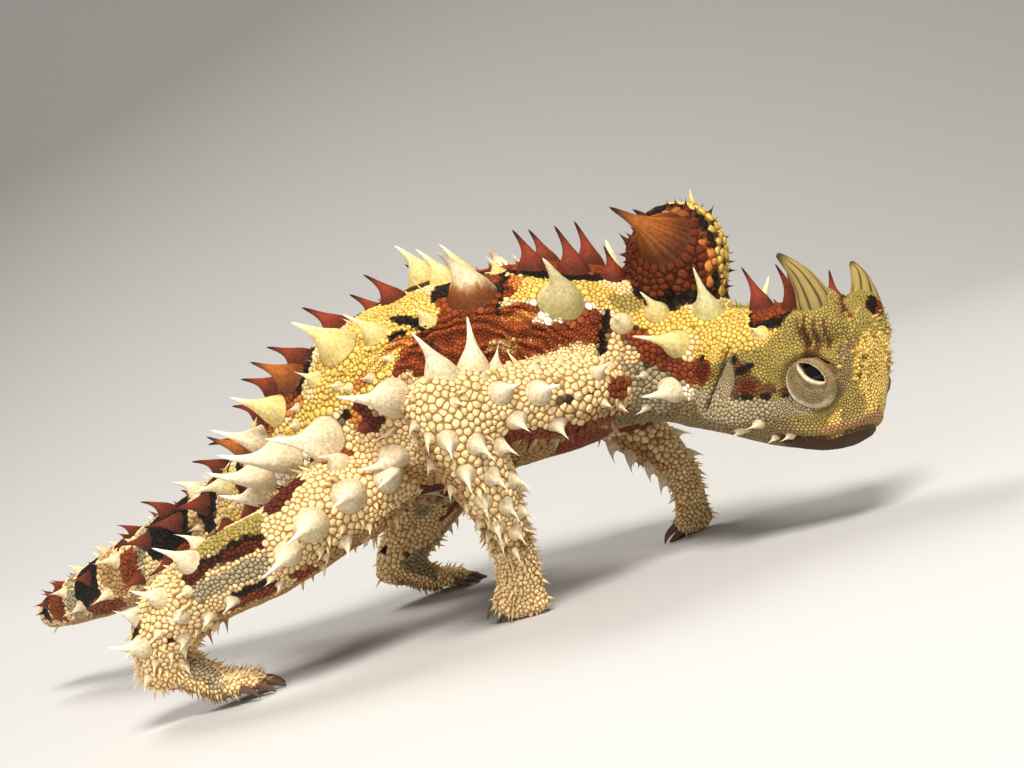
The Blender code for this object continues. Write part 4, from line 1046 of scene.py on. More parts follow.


# Markings. Each is an oval patch: share, angle, half share, half angle, turn, tone; later ones
# lie over earlier ones, and both sides of the animal have them; the black line in the neck crease is
# painted shade

TRUNK_MARKS = (
    (0.50, 165, 0.60, 42, 0, "tan"),
    (0.22, 160, 0.050, 20, 0, "rust"), (0.33, 150, 0.020, 12, 20, "rust"),
    (0.42, 162, 0.040, 20, 0, "maroon"), (0.54, 150, 0.030, 22, 0, "rust"),
    (0.27, 118, 0.030, 8, 10, "tan"), (0.47, 122, 0.050, 8, -8, "tan"),
    (0.20, 86, 0.040, 15, 0, "pale"), (0.05, 146, 0.100, 40, 0, "drab"),
    (0.06, 108, 0.085, 26, 0, "grey"),
    (0.07, 46, 0.090, 20, 0, "yellow"), (0.18, 42, 0.080, 13, 0, "yellow"),
    (0.26, 40, 0.040, 11, 0, "yellow"), (0.125, 40, 0.040, 12, 10, "olive"),
    (0.150, 52, 0.020, 5, 10, "pale"),
    (0.185, 54, 0.028, 5, 0, "white"), (0.235, 56, 0.030, 4, 0, "white"),
    (0.085, 73, 0.070, 12, -14, "black"), (0.085, 73, 0.066, 10.5, -14, "rust"),
    (0.020, 85, 0.045, 7.5, -10, "rust"), (0.030, 74, 0.012, 3, 0, "black"),
    (0.172, 68, 0.030, 14, 0, "rust"), (0.28, 70, 0.115, 16.5, 0, "rust"),
    (0.25, 61, 0.040, 2.5, 0, "orange"), (0.30, 76, 0.050, 2, 0, "tan"),
    (0.222, 62, 0.024, 6.5, 0, "white"),
    (0.26, 79, 0.020, 1.6, 4, "tan"), (0.23, 70, 0.03, 1.3, 4, "maroon"),
    # Painted shade: the thin black line at share 0.152 lies in the neck crease
    (0.152, 74, 0.008, 30, 0, "black"),
    (0.225, 0, 0.095, 30, 0, "black"), (0.088, 0, 0.058, 38, 0, "black"),
    (0.235, 0, 0.085, 21, 0, "rust"),
    (0.283, 38, 0.016, 11, 0, "rust"), (0.272, 34, 0.008, 6, 0, "orange"),
    (0.316, 44, 0.036, 34, -6, "black"), (0.314, 48, 0.029, 34, -6, "rust"),
    (0.318, 60, 0.030, 14, 0, "rust"), (0.330, 30, 0.010, 10, 0, "black"),
    (0.375, 38, 0.036, 25, 16, "yellow"), (0.405, 62, 0.040, 22, 26, "yellow"),
    (0.45, 79, 0.055, 9, 10, "yellow"), (0.51, 80, 0.050, 6.5, 4, "yellow"),
    (0.352, 52, 0.005, 14, 40, "black"), (0.366, 56, 0.008, 3.5, 0, "black"),
    (0.362, 62, 0.012, 4, 0, "orange"), (0.40, 76, 0.022, 3.0, 10, "orange"),
    (0.41, 0, 0.080, 20, 0, "black"), (0.405, 0, 0.075, 15, 0, "maroon"),
    (0.495, 40, 0.052, 30, 8, "black"), (0.494, 42, 0.046, 27, 8, "maroon"),
    (0.482, 50, 0.016, 15, 0, "rust"), (0.458, 50, 0.010, 9, 0, "black"),
    (0.492, 70, 0.036, 4.0, 8, "orange"), (0.50, 66, 0.020, 2.2, 8, "rust"),
    (0.404, 92, 0.011, 8, 0, "maroon"), (0.413, 90, 0.005, 3.5, 0, "orange"),
    (0.422, 87, 0.007, 2.6, 0, "black"),
    (0.556, 58, 0.020, 18, 0, "yellow"), (0.535, 98, 0.05, 6, 0, "white"),
    (0.598, 82, 0.018, 22, 0, "maroon"), (0.600, 26, 0.026, 26, 0, "maroon"),
    (0.600, 62, 0.008, 10, 0, "black"), (0.604, 120, 0.022, 22, 0, "rust"),
    (0.640, 60, 0.018, 26, 18, "yellow"), (0.646, 100, 0.014, 18, 0, "yellow"),
    (0.634, 40, 0.006, 10, 0, "black"), (0.674, 50, 0.020, 50, -14, "black"),
    (0.668, 108, 0.018, 14, 0, "maroon"), (0.676, 20, 0.010, 16, 0, "maroon"),
    (0.705, 86, 0.010, 26, 0, "tan"), (0.742, 60, 0.032, 60, 10, "black"),
    (0.745, 20, 0.016, 22, 0, "maroon"), (0.735, 120, 0.026, 24, 0, "rust"),
    (0.782, 50, 0.007, 70, -12, "grey"), (0.806, 84, 0.018, 26, 0, "rust"),
    (0.812, 20, 0.020, 26, 0, "maroon"), (0.838, 60, 0.012, 60, 12, "tan"),
    (0.872, 66, 0.022, 50, 0, "black"), (0.862, 130, 0.024, 26, 0, "rust"),
    (0.905, 60, 0.010, 70, 0, "grey"), (0.936, 70, 0.018, 60, 0, "rust"),
    (0.968, 40, 0.010, 90, 0, "black"),
)
HEAD_MARKS = (
    (0.62, 172, 0.54, 40, 0, "drab"), (0.72, 128, 0.30, 24, 0, "drab"),
    (0.72, 112, 0.20, 12, 0, "grey"), (0.46, 112, 0.10, 9, 0, "grey"),
    (0.34, 126, 0.20, 9, 0, "olive"),
    (0.84, 55, 0.20, 34, 0, "yellow"), (0.68, 64, 0.11, 14, 0, "yellow"),
    (0.35, 54, 0.12, 22, 0, "olive"), (0.24, 84, 0.055, 24, 0, "drab"),
    (0.39, 79, 0.040, 3.2, 0, "brown"), (0.43, 68, 0.018, 12, 10, "brown"),
    (0.375, 70, 0.015, 13, 4, "brown"), (0.43, 68, 0.007, 9, 10, "maroon"),
    (0.47, 62, 0.009, 8, 16, "brown"), (0.33, 64, 0.009, 8, 0, "brown"),
    # Gold at the snout's front: the face's own yellow, made brighter with painted light
    (0.28, 0, 0.10, 22, 0, "olive"), (0.05, 40, 0.13, 72, 0, "gold"),
    (0.02, 118, 0.055, 46, 0, "gold"),
    (0.13, 76, 0.010, 14, 0, "brown"), (0.07, 60, 0.007, 12, 0, "brown"),
    (0.10, 96, 0.008, 10, 0, "brown"), (0.03, 84, 0.006, 14, 0, "brown"),
    (0.30, 30, 0.03, 8, 0, "rust"), (0.34, 24, 0.03, 4, 0, "black"),
    (0.60, 14, 0.12, 42, 0, "black"), (0.60, 14, 0.105, 34, 0, "rust"),
    (0.50, 40, 0.03, 8, 0, "maroon"), (0.60, 64, 0.018, 5, 0, "yellow"),
    (0.682, 93, 0.030, 13, 8, "brown"), (0.655, 96, 0.040, 9, 10, "brown"),
    (0.61, 98, 0.045, 6.5, 8, "brown"), (0.56, 98, 0.045, 4.0, 4, "brown"),
    (0.63, 98, 0.030, 4.5, 8, "knob"),
    (0.515, 99, 0.035, 2.4, 0, "maroon"), (0.690, 84, 0.012, 3, 0, "black"),
    (0.650, 88, 0.030, 1.4, 24, "black"), (0.645, 104.5, 0.050, 2.6, 0, "black"),
    (0.585, 103.5, 0.030, 2.2, 0, "black"), (0.500, 102, 0.028, 1.6, 0, "black"),
    (0.720, 96, 0.032, 14, 0, "grey"),
    (0.86, 92, 0.080, 9, 0, "rust"), (0.82, 92, 0.03, 5, 0, "maroon"),
    (0.83, 84, 0.012, 2.5, 0, "black"), (0.88, 83, 0.014, 2.5, 0, "black"),
    (0.90, 108, 0.05, 7, 0, "white"),
)
KNOB_MARKS = (
    (0.45, 100, 0.34, 62, 0, "knob"), (0.50, 0, 0.9, 40, 0, "black"),
    (0.52, 0, 0.7, 31, 0, "yellow"),
    (0.08, 120, 0.13, 120, 0, "black"), (0.93, 60, 0.10, 40, 0, "black"),
    (0.80, 66, 0.10, 20, 0, "orange"), (0.45, 46, 0.30, 6, 0, "orange"),
)
LIMB_MARKS = {
    "upper_arm": ((0.17, 98, 0.07, 18, 0, "rust"), (0.27, 94, 0.03, 4.5, 0, "black"),
                  (0.36, 100, 0.025, 4, 0, "black"), (0.25, 128, 0.09, 12, 0, "tan"),
                  (0.30, 160, 0.4, 22, 0, "rust")),
    "forearm": ((0.45, 150, 0.6, 40, 0, "tan"), (0.95, 0, 0.06, 180, 0, "tan")),
    "thigh": ((0.62, 14, 0.14, 22, 20, "maroon"), (0.25, 10, 0.12, 30, 0, "rust"),
              (0.55, 150, 0.5, 26, 0, "tan"), (0.8, 140, 0.10, 14, 0, "rust")),
    "shank": ((0.18, 36, 0.22, 26, 0, "olive"), (0.24, 66, 0.22, 14, 0, "black"),
              (0.25, 68, 0.19, 9, 0, "maroon"), (0.24, 97, 0.17, 14, 0, "grey"),
              (0.22, 126, 0.10, 9, 0, "black"), (0.26, 142, 0.12, 9, 0, "rust"),
              (0.30, 168, 0.3, 16, 0, "tan"), (0.63, 122, 0.035, 6, 0, "black"),
              (0.70, 60, 0.03, 8, 0, "black"), (0.40, 8, 0.12, 12, 0, "maroon"),
              (0.52, 60, 0.04, 8, 0, "orange")),
    "hand": ((0.8, 180, 0.5, 70, 0, "tan"),),
    "foot": ((0.8, 180, 0.5, 70, 0, "tan"), (0.6, 60, 0.3, 30, 0, "grey")),
}
BASE_TONES = {"trunk": "pale", "head": "olive", "knob": "maroon"}
TONE_NAMES = ("pale", "white", "yellow", "gold", "olive", "grey", "drab", "tan", "orange", "brown",
              "chin", "knob", "rust", "maroon", "black")
EDGE_WANDER = 0.55
EDGE_SOFT = 0.12


def marks_of(name):
    if name == "trunk":
        return TRUNK_MARKS
    if name == "head":
        return HEAD_MARKS
    if name == "knob":
        return KNOB_MARKS
    return LIMB_MARKS[name.rsplit("_", 1)[0]]


def paint(spots, owner, share, angle, colours):
    """The coat's colour at each spot: the markings, a little waver, and painted light and shade of
    folds.
    """
    colour = np.empty((len(spots), 3))
    waver = (EDGE_WANDER * noise(spots, 2.4, 21) + 0.5 * EDGE_WANDER * noise(spots, 0.9, 22)
             + 0.3 * EDGE_WANDER * noise(spots, 0.4, 23))
    for i, name in enumerate(PART_NAMES):
        mine = np.nonzero(owner == i)[0]
        if len(mine) == 0:
            continue
        body = PARTS[name]
        row = body.row(share[mine])
        girth = (row[:, 3] + row[:, 4]) / 2
        line = body.centre(np.linspace(0, 1, 30))
        reach = np.linalg.norm(np.diff(line, axis=0), axis=1).sum()
        turn = np.degrees(np.abs(angle[mine]))
        tone = np.tile(np.array(colours[BASE_TONES.get(name, "pale")]), (len(mine), 1))
        for s0, a0, half_share, half_angle, lean, kind in marks_of(name):
            along = (share[mine] - s0) * reach
            round_it = np.radians(turn - a0) * girth
            tilt = math.radians(lean)
            u = along * math.cos(tilt) + round_it * math.sin(tilt)
            v = -along * math.sin(tilt) + round_it * math.cos(tilt)
            long = half_share * reach
            wide = np.maximum(math.radians(half_angle) * girth, 0.2)
            size = np.sqrt((u / long) ** 2 + (v / wide) ** 2)
            edge = (size - 1) * np.minimum(long, wide) + waver[mine] * min(1.0, long / 1.5)
            cover = ramp(EDGE_SOFT, -EDGE_SOFT, edge)[:, None]
            tone = tone * (1 - cover) + np.array(colours[kind]) * cover
        if name == "head":
            tone = paint_lips(tone, to_head(spots[mine]), colours)
        colour[mine] = tone
    mottle_and_wrinkle_shade = 1 + 0.10 * noise(spots, 4.0, 31) + 0.06 * noise(spots, 1.1, 32)
    # Painted light on the ridges of the flank wrinkles and painted shade in the valleys between them
    flank, ridges = flank_ridges(spots, owner, share, angle)
    mottle_and_wrinkle_shade *= 1 + flank * (0.95 * ridges ** 2 - 0.36)
    # Last, the painted shade of the creases darkens the colour
    return colour * (mottle_and_wrinkle_shade * painted_crease_shade(spots, owner))[:, None]


def paint_lips(tone, local, colours):
    """The upper lip tan and the lower jaw dark, told apart by the line of the mouth."""
    x = local[:, 0]
    over = local[:, 2] - mouth_heights(x)
    lip = (ramp(0.0, 0.15, over) * ramp(1.5, 0.8, over) * ramp(13.5, 17.0, x))[:, None]
    tone = tone * (1 - lip) + np.array(colours["tan"]) * lip
    jaw = (ramp(-0.05, -0.25, over) * ramp(10.2, 11.4, x))[:, None]
    return tone * (1 - jaw) + np.array(colours["chin"]) * jaw

def painted_crease_shade(spots, owner):
    """How much colour is left under the painted shade in the creases of the head."""
    local = to_head(spots)
    x = local[:, 0]
    z = local[:, 2]
    flank = is_part(owner, "head", "trunk") * ramp(3.4, 4.6, np.abs(local[:, 1]))
    over = z - mouth_heights(x)
    mouth = (is_part(owner, "head") * ramp(MOUTH_STARTS - 0.6, MOUTH_STARTS + 0.4, x)
             * hill(over, 0.0, 0.15)) * 0.75
    corner = hill(np.hypot((x - MOUTH_STARTS - 1.2) / 4.5, over), 0.0, 0.28)
    crease = x - JAW_CREASE_X - JAW_CREASE_TURN * (z - EAR_SPOT[1])
    jaw = flank * hill(crease, 0.0, 0.22) * ramp(-4.6, -3.4, z) * ramp(3.6, 2.6, z)
    ring = np.hypot(x - TURRET_CENTRE[0], z - TURRET_CENTRE[1])
    turret = flank * hill(ring, TURRET_RING + 0.05, 0.16) * ramp(9.5, 11.0, x)
    ear = np.hypot((x - EAR_SPOT[0]) / EAR_SIZE[0], (z - EAR_SPOT[1]) / EAR_SIZE[1])
    rim = flank * hill(ear, 1.08, 0.08) * 0.45
    # Painted shade: the mouth line and its corner, the jaw crease, the groove round the eye's turret
    # and the ear's rim
    dark = np.maximum.reduce([mouth, corner * is_part(owner, "head"), jaw, turret * 0.55, rim])
    return 1 - 0.82 * dark


def colours_of(coat):
    return {name: tuple(getattr(coat, name)) for name in TONE_NAMES}


# Scales: where they stand, how large, and their shapes

SIDES = 8
REACH_LIMIT = 0.92
NEIGHBOURS = 12
SCALE_SEED = 7
CROWDING = 0.80
LIP_ROWS = (0.27, 0.56, 0.86, 1.17, 1.50, -0.27, -0.54, -0.82)
LIP_STEP = 0.46
LIP_WIDE = 0.36


def scale_width(spots, owner, share, angle, sizes):
    """How wide the scales are meant to be at each spot, in millimetres."""
    turn = np.degrees(np.abs(angle))
    wide = np.full(len(spots), 0.62)
    trunk = is_part(owner, "trunk")
    back = trunk & (turn < 62)
    wide[back] = 0.50
    wide[trunk & (turn >= 62)] = 0.60
    wide[trunk & (turn > 125)] = 0.72
    flank = trunk & (share > 0.16) & (share < 0.39) & (turn > 50) & (turn < 88)
    wide[flank] = 0.36
    wide[trunk & (share < 0.14) & (turn > 80)] = 0.60
    wide[trunk & (share > 0.6)] = 0.62
    head = is_part(owner, "head")
    local = to_head(spots)
    wide[head] = 0.34
    wide[head & (local[:, 0] < 11.0) & (turn > 100)] = 0.44
    wide[head & (share > 0.6) & (turn < 80)] = 0.54
    around_eye = np.hypot(local[:, 0] - TURRET_CENTRE[0], local[:, 2] - TURRET_CENTRE[1])
    wide[head & (around_eye < 4.2) & (np.abs(local[:, 1]) > 4)] = 0.27
    ear = np.hypot((local[:, 0] - EAR_SPOT[0]) / EAR_SIZE[0],
                   (local[:, 2] - EAR_SPOT[1]) / EAR_SIZE[1])
    wide[head & (ear < 0.95) & (np.abs(local[:, 1]) > 5)] = 0.24
    wide[is_part(owner, "knob")] = 0.95
    for side in ("right", "left"):
        wide[is_part(owner, "upper_arm_" + side)] = 0.80
        arm = is_part(owner, "forearm_" + side)
        wide[arm] = 0.86 - 0.26 * share[arm]
        wide[is_part(owner, "hand_" + side, "foot_" + side)] = 0.50
        wide[is_part(owner, "thigh_" + side)] = 0.72
        shank = is_part(owner, "shank_" + side)
        wide[shank] = np.where(share[shank] < 0.42, 0.50, 0.70)
        wide[shank & (share > 0.8)] = 0.60
    wide = wide * (1 + 0.16 * noise(spots, 2.0, 41))
    return wide * sizes.scale_size / (0.6 * MM)


def lip_spots(tree):
    """Rows of scales along both lips, read off the skin by rays from inside the head."""
    rows = []
    for rise in LIP_ROWS:
        last = None
        for step in range(-1250, 1251, 4):
            turn = math.radians(step / 10)
            aim_x = 15.0 + 4.6 * math.cos(turn)
            start = np.array((15.0, 0.0, mouth_height(aim_x) + rise))
            way = np.array((math.cos(turn), math.sin(turn), 0.0))
            world = HEAD_MATRIX[:3, :3] @ unit(way)
            hit = tree.ray_cast(Vector(head_spot(*start)), Vector(world), 14.0)[0]
            if hit is None:
                continue
            hit = np.array(hit)
            if to_head(hit[None])[0, 0] < MOUTH_STARTS + abs(rise) * 0.8:
                continue
            if last is None or np.linalg.norm(hit - last) > LIP_STEP:
                rows.append(hit)
                last = hit
    return np.array(rows)


def ring_spots(thorns, tree):
    """A ring of middling scales round each broad thorn."""
    spots = []
    wides = []
    for thorn in thorns:
        if thorn.root < 1.25:
            continue
        wide = min(max(0.42 * thorn.root, 0.6), 1.0)
        far = thorn.root * 1.03 + wide * 0.5
        count = int(round(2 * math.pi * far / (wide * 1.02)))
        first = unit(np.cross(thorn.out, (0.31, 0.52, 0.79)))
        second = np.cross(thorn.out, first)
        for k in range(count):
            turn = 2 * math.pi * k / count
            way = first * math.cos(turn) + second * math.sin(turn)
            aim = Vector(thorn.spot + way * far + thorn.out * 1.2)
            hit = tree.ray_cast(aim, Vector(-thorn.out), 3.2)[0]
            if hit is not None and (hit - Vector(thorn.spot)).length > thorn.root * 0.98:
                spots.append(np.array(hit))
                wides.append(wide)
    return np.array(spots), np.array(wides)


def strew(candidates, wides, fixed, fixed_wides, thorns):
    """Take candidates in turn where no scale or thorn stands too near."""
    cells = {}
    size = 1.1

    def put(x, y, z, reach):
        key = (int(x // size), int(y // size), int(z // size))
        cells.setdefault(key, []).append((x, y, z, reach))

    for (x, y, z), wide in zip(fixed.tolist(), fixed_wides.tolist()):
        put(x, y, z, wide * 0.5)
    blocked = np.zeros(len(candidates), bool)
    for thorn in thorns:
        near = np.linalg.norm(candidates - thorn.spot, axis=1)
        blocked |= near < thorn.root * 0.98 + wides * 0.32
    chosen = []
    rows = candidates.tolist()
    halves = (wides * 0.5).tolist()
    around = [(a, b, c) for a in (-1, 0, 1) for b in (-1, 0, 1) for c in (-1, 0, 1)]
    for i in np.nonzero(~blocked)[0].tolist():
        x, y, z = rows[i]
        half = halves[i]
        kx = int(x // size)
        ky = int(y // size)
        kz = int(z // size)
        free = True
        for a, b, c in around:
            for px, py, pz, reach in cells.get((kx + a, ky + b, kz + c), ()):
                room = (half + reach) * CROWDING
                dx = px - x
                dy = py - y
                dz = pz - z
                if dx * dx + dy * dy + dz * dz < room * room:
                    free = False
                    break
            if not free:
                break
        if free:
            put(x, y, z, half)
            chosen.append(i)
    return np.array(chosen)


def scatter_scales(sizes):
    """Spots, widths and facing of all the scales on the skin."""
    skin = bpy.data.objects["skin"]
    spots, normals, triangles = read_mesh(skin)
    tree = BVHTree.FromPolygons([tuple(p) for p in spots], [tuple(t) for t in triangles.tolist()])
    owner = np.rint(read_value(skin, "part")).astype(int)
    share = read_value(skin, "share").astype(float)
    angle = read_value(skin, "angle").astype(float)
    wide = scale_width(spots, owner, share, angle, sizes)
    a, b, c = (spots[triangles[:, i]] for i in range(3))
    area = np.linalg.norm(np.cross(b - a, c - a), axis=1) / 2
    need = area / wide[triangles[:, 0]] ** 2
    chance = np.random.default_rng(SCALE_SEED)
    count = int(need.sum() * 7.5)
    picks = chance.choice(len(triangles), count, p=need / need.sum())
    u = np.sqrt(chance.random(count))[:, None]
    v = chance.random(count)[:, None]
    places = a[picks] * (1 - u) + b[picks] * (u * (1 - v)) + c[picks] * (u * v)
    widths = wide[triangles[picks, 0]] * chance.uniform(0.85, 1.15, count)
    low = places[:, 2] > 0.12
    places = places[low]
    widths = widths[low]
    local = to_head(places)
    ring = np.hypot(local[:, 0] - TURRET_CENTRE[0], local[:, 2] - TURRET_CENTRE[1])
    clear = ~((ring < LID_OUTER - 0.12) & (np.abs(local[:, 1]) > 4.0) & (local[:, 0] > 11.5))
    places = places[clear]
    widths = widths[clear]
    ring_places, ring_widths = ring_spots(WORK["thorns"], tree)
    lips = lip_spots(tree)
    fixed = np.vstack([ring_places, lips])
    fixed_widths = np.concatenate([ring_widths, np.full(len(lips), LIP_WIDE)])
    keep = np.ones(len(fixed), bool)
    for thorn in WORK["thorns"]:
        keep &= ~(np.linalg.norm(fixed - thorn.spot, axis=1) < thorn.root * 0.98)
    fixed = fixed[keep]
    fixed_widths = fixed_widths[keep]
    fixed = thin_out(fixed, fixed_widths)
    fixed_widths = fixed[:, 3]
    fixed = fixed[:, :3]
    chosen = strew(places, widths, fixed, fixed_widths, WORK["thorns"])
    places = np.vstack([fixed, places[chosen]])
    widths = np.concatenate([fixed_widths, widths[chosen]])
    places = spread_out(places, widths, tree, len(fixed))
    near = [tree.find_nearest(Vector(p)) for p in places.tolist()]
    corner = triangles[[n[2] for n in near]]
    facing = unit(normals[corner].mean(axis=1))
    places = np.array([n[0] for n in near])
    return places, widths, facing, tree


def thin_out(spots, widths):
    """Drop ring and lip scales that stand too near one before them."""
    kept = []
    for spot, wide in zip(spots, widths):
        near = False
        for other in kept[-400:]:
            gap = spot - other[:3]
            room = (wide + other[3]) * 0.5 * 0.72
            if gap @ gap < room * room and not wide == other[3] == LIP_WIDE:
                near = True
                break
        if not near:
            kept.append((*spot, wide))
    return np.array(kept)


def neighbours_of(places, count):
    tree = KDTree(len(places))
    for i, spot in enumerate(places.tolist()):
        tree.insert(spot, i)
    tree.balance()
    near = np.empty((len(places), count), int)
    for i, spot in enumerate(places.tolist()):
        found = tree.find_n(spot, count + 1)
        near[i] = [f[1] for f in found if f[1] != i][:count]
    return near, tree


def spread_out(places, widths, tree, fixed):
    """Push scales off those that crowd them, twice, and bring them back to the skin."""
    for _ in range(2):
        near, _ = neighbours_of(places, 7)
        gap = places[:, None] - places[near]
        far = np.linalg.norm(gap, axis=2)
        room = (widths[:, None] + widths[near]) * 0.5
        push = np.clip(1 - far / np.maximum(room, 1e-6), 0, 1)[..., None]
        step = np.sum(unit(gap) * push, axis=1) * (widths * 0.32)[:, None]
        step[:fixed] = 0
        places = places + step
        places = np.array([tree.find_nearest(Vector(p))[0] for p in places.tolist()])
    return places


def cell_reach(places, widths, facing, thorns, chance):
    """How far each scale reaches each way before it meets its neighbours."""
    near, tree = neighbours_of(places, NEIGHBOURS)
    first = unit(np.cross(facing, unit(chance.normal(size=(len(places), 3)))))
    second = np.cross(facing, first)
    turns = 2 * math.pi * np.arange(SIDES) / SIDES
    ways = (first[:, None] * np.cos(turns)[None, :, None]
            + second[:, None] * np.sin(turns)[None, :, None])
    reach = np.repeat((widths * REACH_LIMIT)[:, None], SIDES, axis=1)
    for k in range(NEIGHBOURS):
        other = near[:, k]
        gap = places[other] - places
        far = np.linalg.norm(gap, axis=1)
        half = far * widths / (widths + widths[other])
        toward = np.einsum("nij,nj->ni", ways, gap / np.maximum(far, 1e-6)[:, None])
        limit = half[:, None] / np.maximum(toward, 0.05)
        reach = np.where(toward > 0.08, np.minimum(reach, limit), reach)
    for thorn in thorns:
        for _, i, far in tree.find_range(Vector(thorn.spot), thorn.root + 1.6):
            gap = thorn.spot - places[i]
            half = max(far - thorn.root * 1.0, 0.08)
            toward = ways[i] @ (gap / max(far, 1e-6))
            limit = half / np.maximum(toward, 0.05)
            reach[i] = np.where(toward > 0.08, np.minimum(reach[i], limit), reach[i])
    return first, second, ways, reach


CRACK_TINT = np.array((0.42, 0.29, 0.18))
EDGE_SINK = 0.05
GAP_BETWEEN = 0.02
PLATE_SHARE = 0.85
SPIKE_SHARE = 0.46
CHART_SIDE = 4
PATCH = 0.0015
MOST_SCALES = 8200


def chart(owner, share, angle):
    """Where each spot lies on the flat unwrap of the body, each part in its own square."""
    cell_u = (owner % CHART_SIDE) / CHART_SIDE
    cell_v = (owner // CHART_SIDE) / CHART_SIDE
    span = 0.23
    u = cell_u + 0.01 + span * share
    v = cell_v + 0.01 + span * (angle + math.pi) / (2 * math.pi)
    return u, v


def keep_unwrap(item, triangles, spots_uv):
    layer = item.data.uv_layers.new(name="OFBake")
    layer.data.foreach_set("uv", spots_uv[triangles.ravel()].astype(np.float32).ravel())


def scale_piece(name, place, wide, facing, lie, ways, reach, hue, high, point, uv):
    """One mesh of many scales, each a low dome on its own cell, or a small spike."""
    count = len(place)
    reach = np.maximum(reach * 0.985 - GAP_BETWEEN, 0.06)
    rim = place[:, None] + ways * reach[..., None] - facing[:, None] * EDGE_SINK
    shrink = np.where(point > 0, SPIKE_SHARE, PLATE_SHARE)[:, None, None]
    lift = np.where(point > 0, 0.26 * point, 0.74 * high)[:, None, None]
    slide = np.where(point > 0, 0.16 * point, 0.05 * wide)[:, None, None]
    inner = (place[:, None] + ways * reach[..., None] * shrink + facing[:, None] * lift
             + lie[:, None] * slide)
    top = (place + facing * np.where(point > 0, point, high)[:, None]
           + lie * np.where(point > 0, 0.55 * point, 0.12 * wide)[:, None])
    spots = np.concatenate([rim, inner, top[:, None]], axis=1)
    spots[..., 2] = np.maximum(spots[..., 2], 0.02)
    each = 2 * SIDES + 1
    faces = []
    for k in range(SIDES):
        n = (k + 1) % SIDES
        faces += [(k, n, SIDES + n), (k, SIDES + n, SIDES + k), (SIDES + k, SIDES + n, 2 * SIDES)]
    faces = np.array(faces)
    triangles = (faces[None] + (np.arange(count) * each)[:, None, None]).reshape(-1, 3)
    item = mesh_piece(name, spots.reshape(-1, 3), triangles)
    crack = hue * CRACK_TINT
    dark = hue.mean(axis=1) < 0.16
    tip = np.where(point > 0, np.where(dark, 0.35, 1.12), 1.05)[:, None]
    tone = np.empty((count, each, 3))
    tone[:, :SIDES] = (crack * 0.9)[:, None]
    tone[:, SIDES:2 * SIDES] = (hue * 0.94 + crack * 0.06)[:, None]
    tone[:, -1] = hue * tip
    keep_value(item, "hue", np.clip(tone.reshape(-1, 3), 0, 0.95))
    turns = 2 * math.pi * np.arange(SIDES) / SIDES
    ring = np.stack([np.cos(turns), np.sin(turns)], axis=1) * PATCH
    flat = np.concatenate([ring, ring * 0.6, np.zeros((1, 2))])
    keep_unwrap(item, triangles, (uv[:, None] + flat[None]).reshape(-1, 2))
    return item


def lie_of(owner, share, facing):
    """The way that scales point: towards the tail on the body, towards the toes on the limbs."""
    lie = np.zeros_like(facing)
    for i, name in enumerate(PART_NAMES):
        mine = owner == i
        if mine.any():
            lie[mine] = PARTS[name].along(share[mine])
    lie -= facing * np.sum(lie * facing, axis=1)[:, None]
    return unit(lie)


def spike_odds(owner, share, angle):
    """How often a scale is drawn out to a small spike, and how long that spike is."""
    turn = np.degrees(np.abs(angle))
    odds = np.full(len(owner), 0.02)
    trunk = is_part(owner, "trunk")
    odds[trunk & (turn > 62) & (turn < 130)] = 0.03
    odds[trunk & (turn > 145)] = 0.0
    odds[trunk & (share > 0.17) & (share < 0.36) & (turn > 52) & (turn < 88)] = 0.0
    odds[trunk & (share > 0.38) & (turn > 70) & (turn < 118)] = 0.06
    odds[trunk & (share < 0.15) & (turn < 70)] = 0.0
    head = is_part(owner, "head")
    odds[head] = 0.0
    odds[head & (share < 0.34) & (turn < 66)] = 0.10
    odds[head & (share > 0.4) & (turn < 45)] = 0.06
    odds[is_part(owner, "knob")] = 0.06
    for side in ("right", "left"):
        arm = is_part(owner, "forearm_" + side)
        odds[arm] = 0.08 + 0.30 * ramp(0.6, 0.95, share[arm])
        odds[is_part(owner, "upper_arm_" + side)] = 0.05
        odds[is_part(owner, "thigh_" + side)] = 0.07
        shank = is_part(owner, "shank_" + side)
        odds[shank] = np.where(share[shank] < 0.42, 0.01, 0.16)
        odds[is_part(owner, "hand_" + side, "foot_" + side)] = 0.28
    return odds


def group_of(owner, share, angle):
    """Which piece each scale goes to."""
    names = np.full(len(owner), "", dtype=object)
    side = np.where(angle > 0, "right", "left")
    trunk = is_part(owner, "trunk")
    for section, low, high in (("neck", -1.0, 0.175), ("chest", 0.175, 0.365),
                               ("abdomen", 0.365, 0.6), ("tail", 0.6, 2.0)):
        mine = trunk & (share >= low) & (share < high)
        names[mine] = section
    names[is_part(owner, "head")] = "head"
    names[is_part(owner, "knob")] = "knob"
    names = np.where(names == "", "", names + "_" + side)
    for limb in ("right", "left"):
        arm = is_part(owner, "upper_arm_" + limb, "forearm_" + limb, "hand_" + limb)
        leg = is_part(owner, "thigh_" + limb, "shank_" + limb, "foot_" + limb)
        names[arm] = "arm_" + limb
        names[leg] = "leg_" + limb
    return names


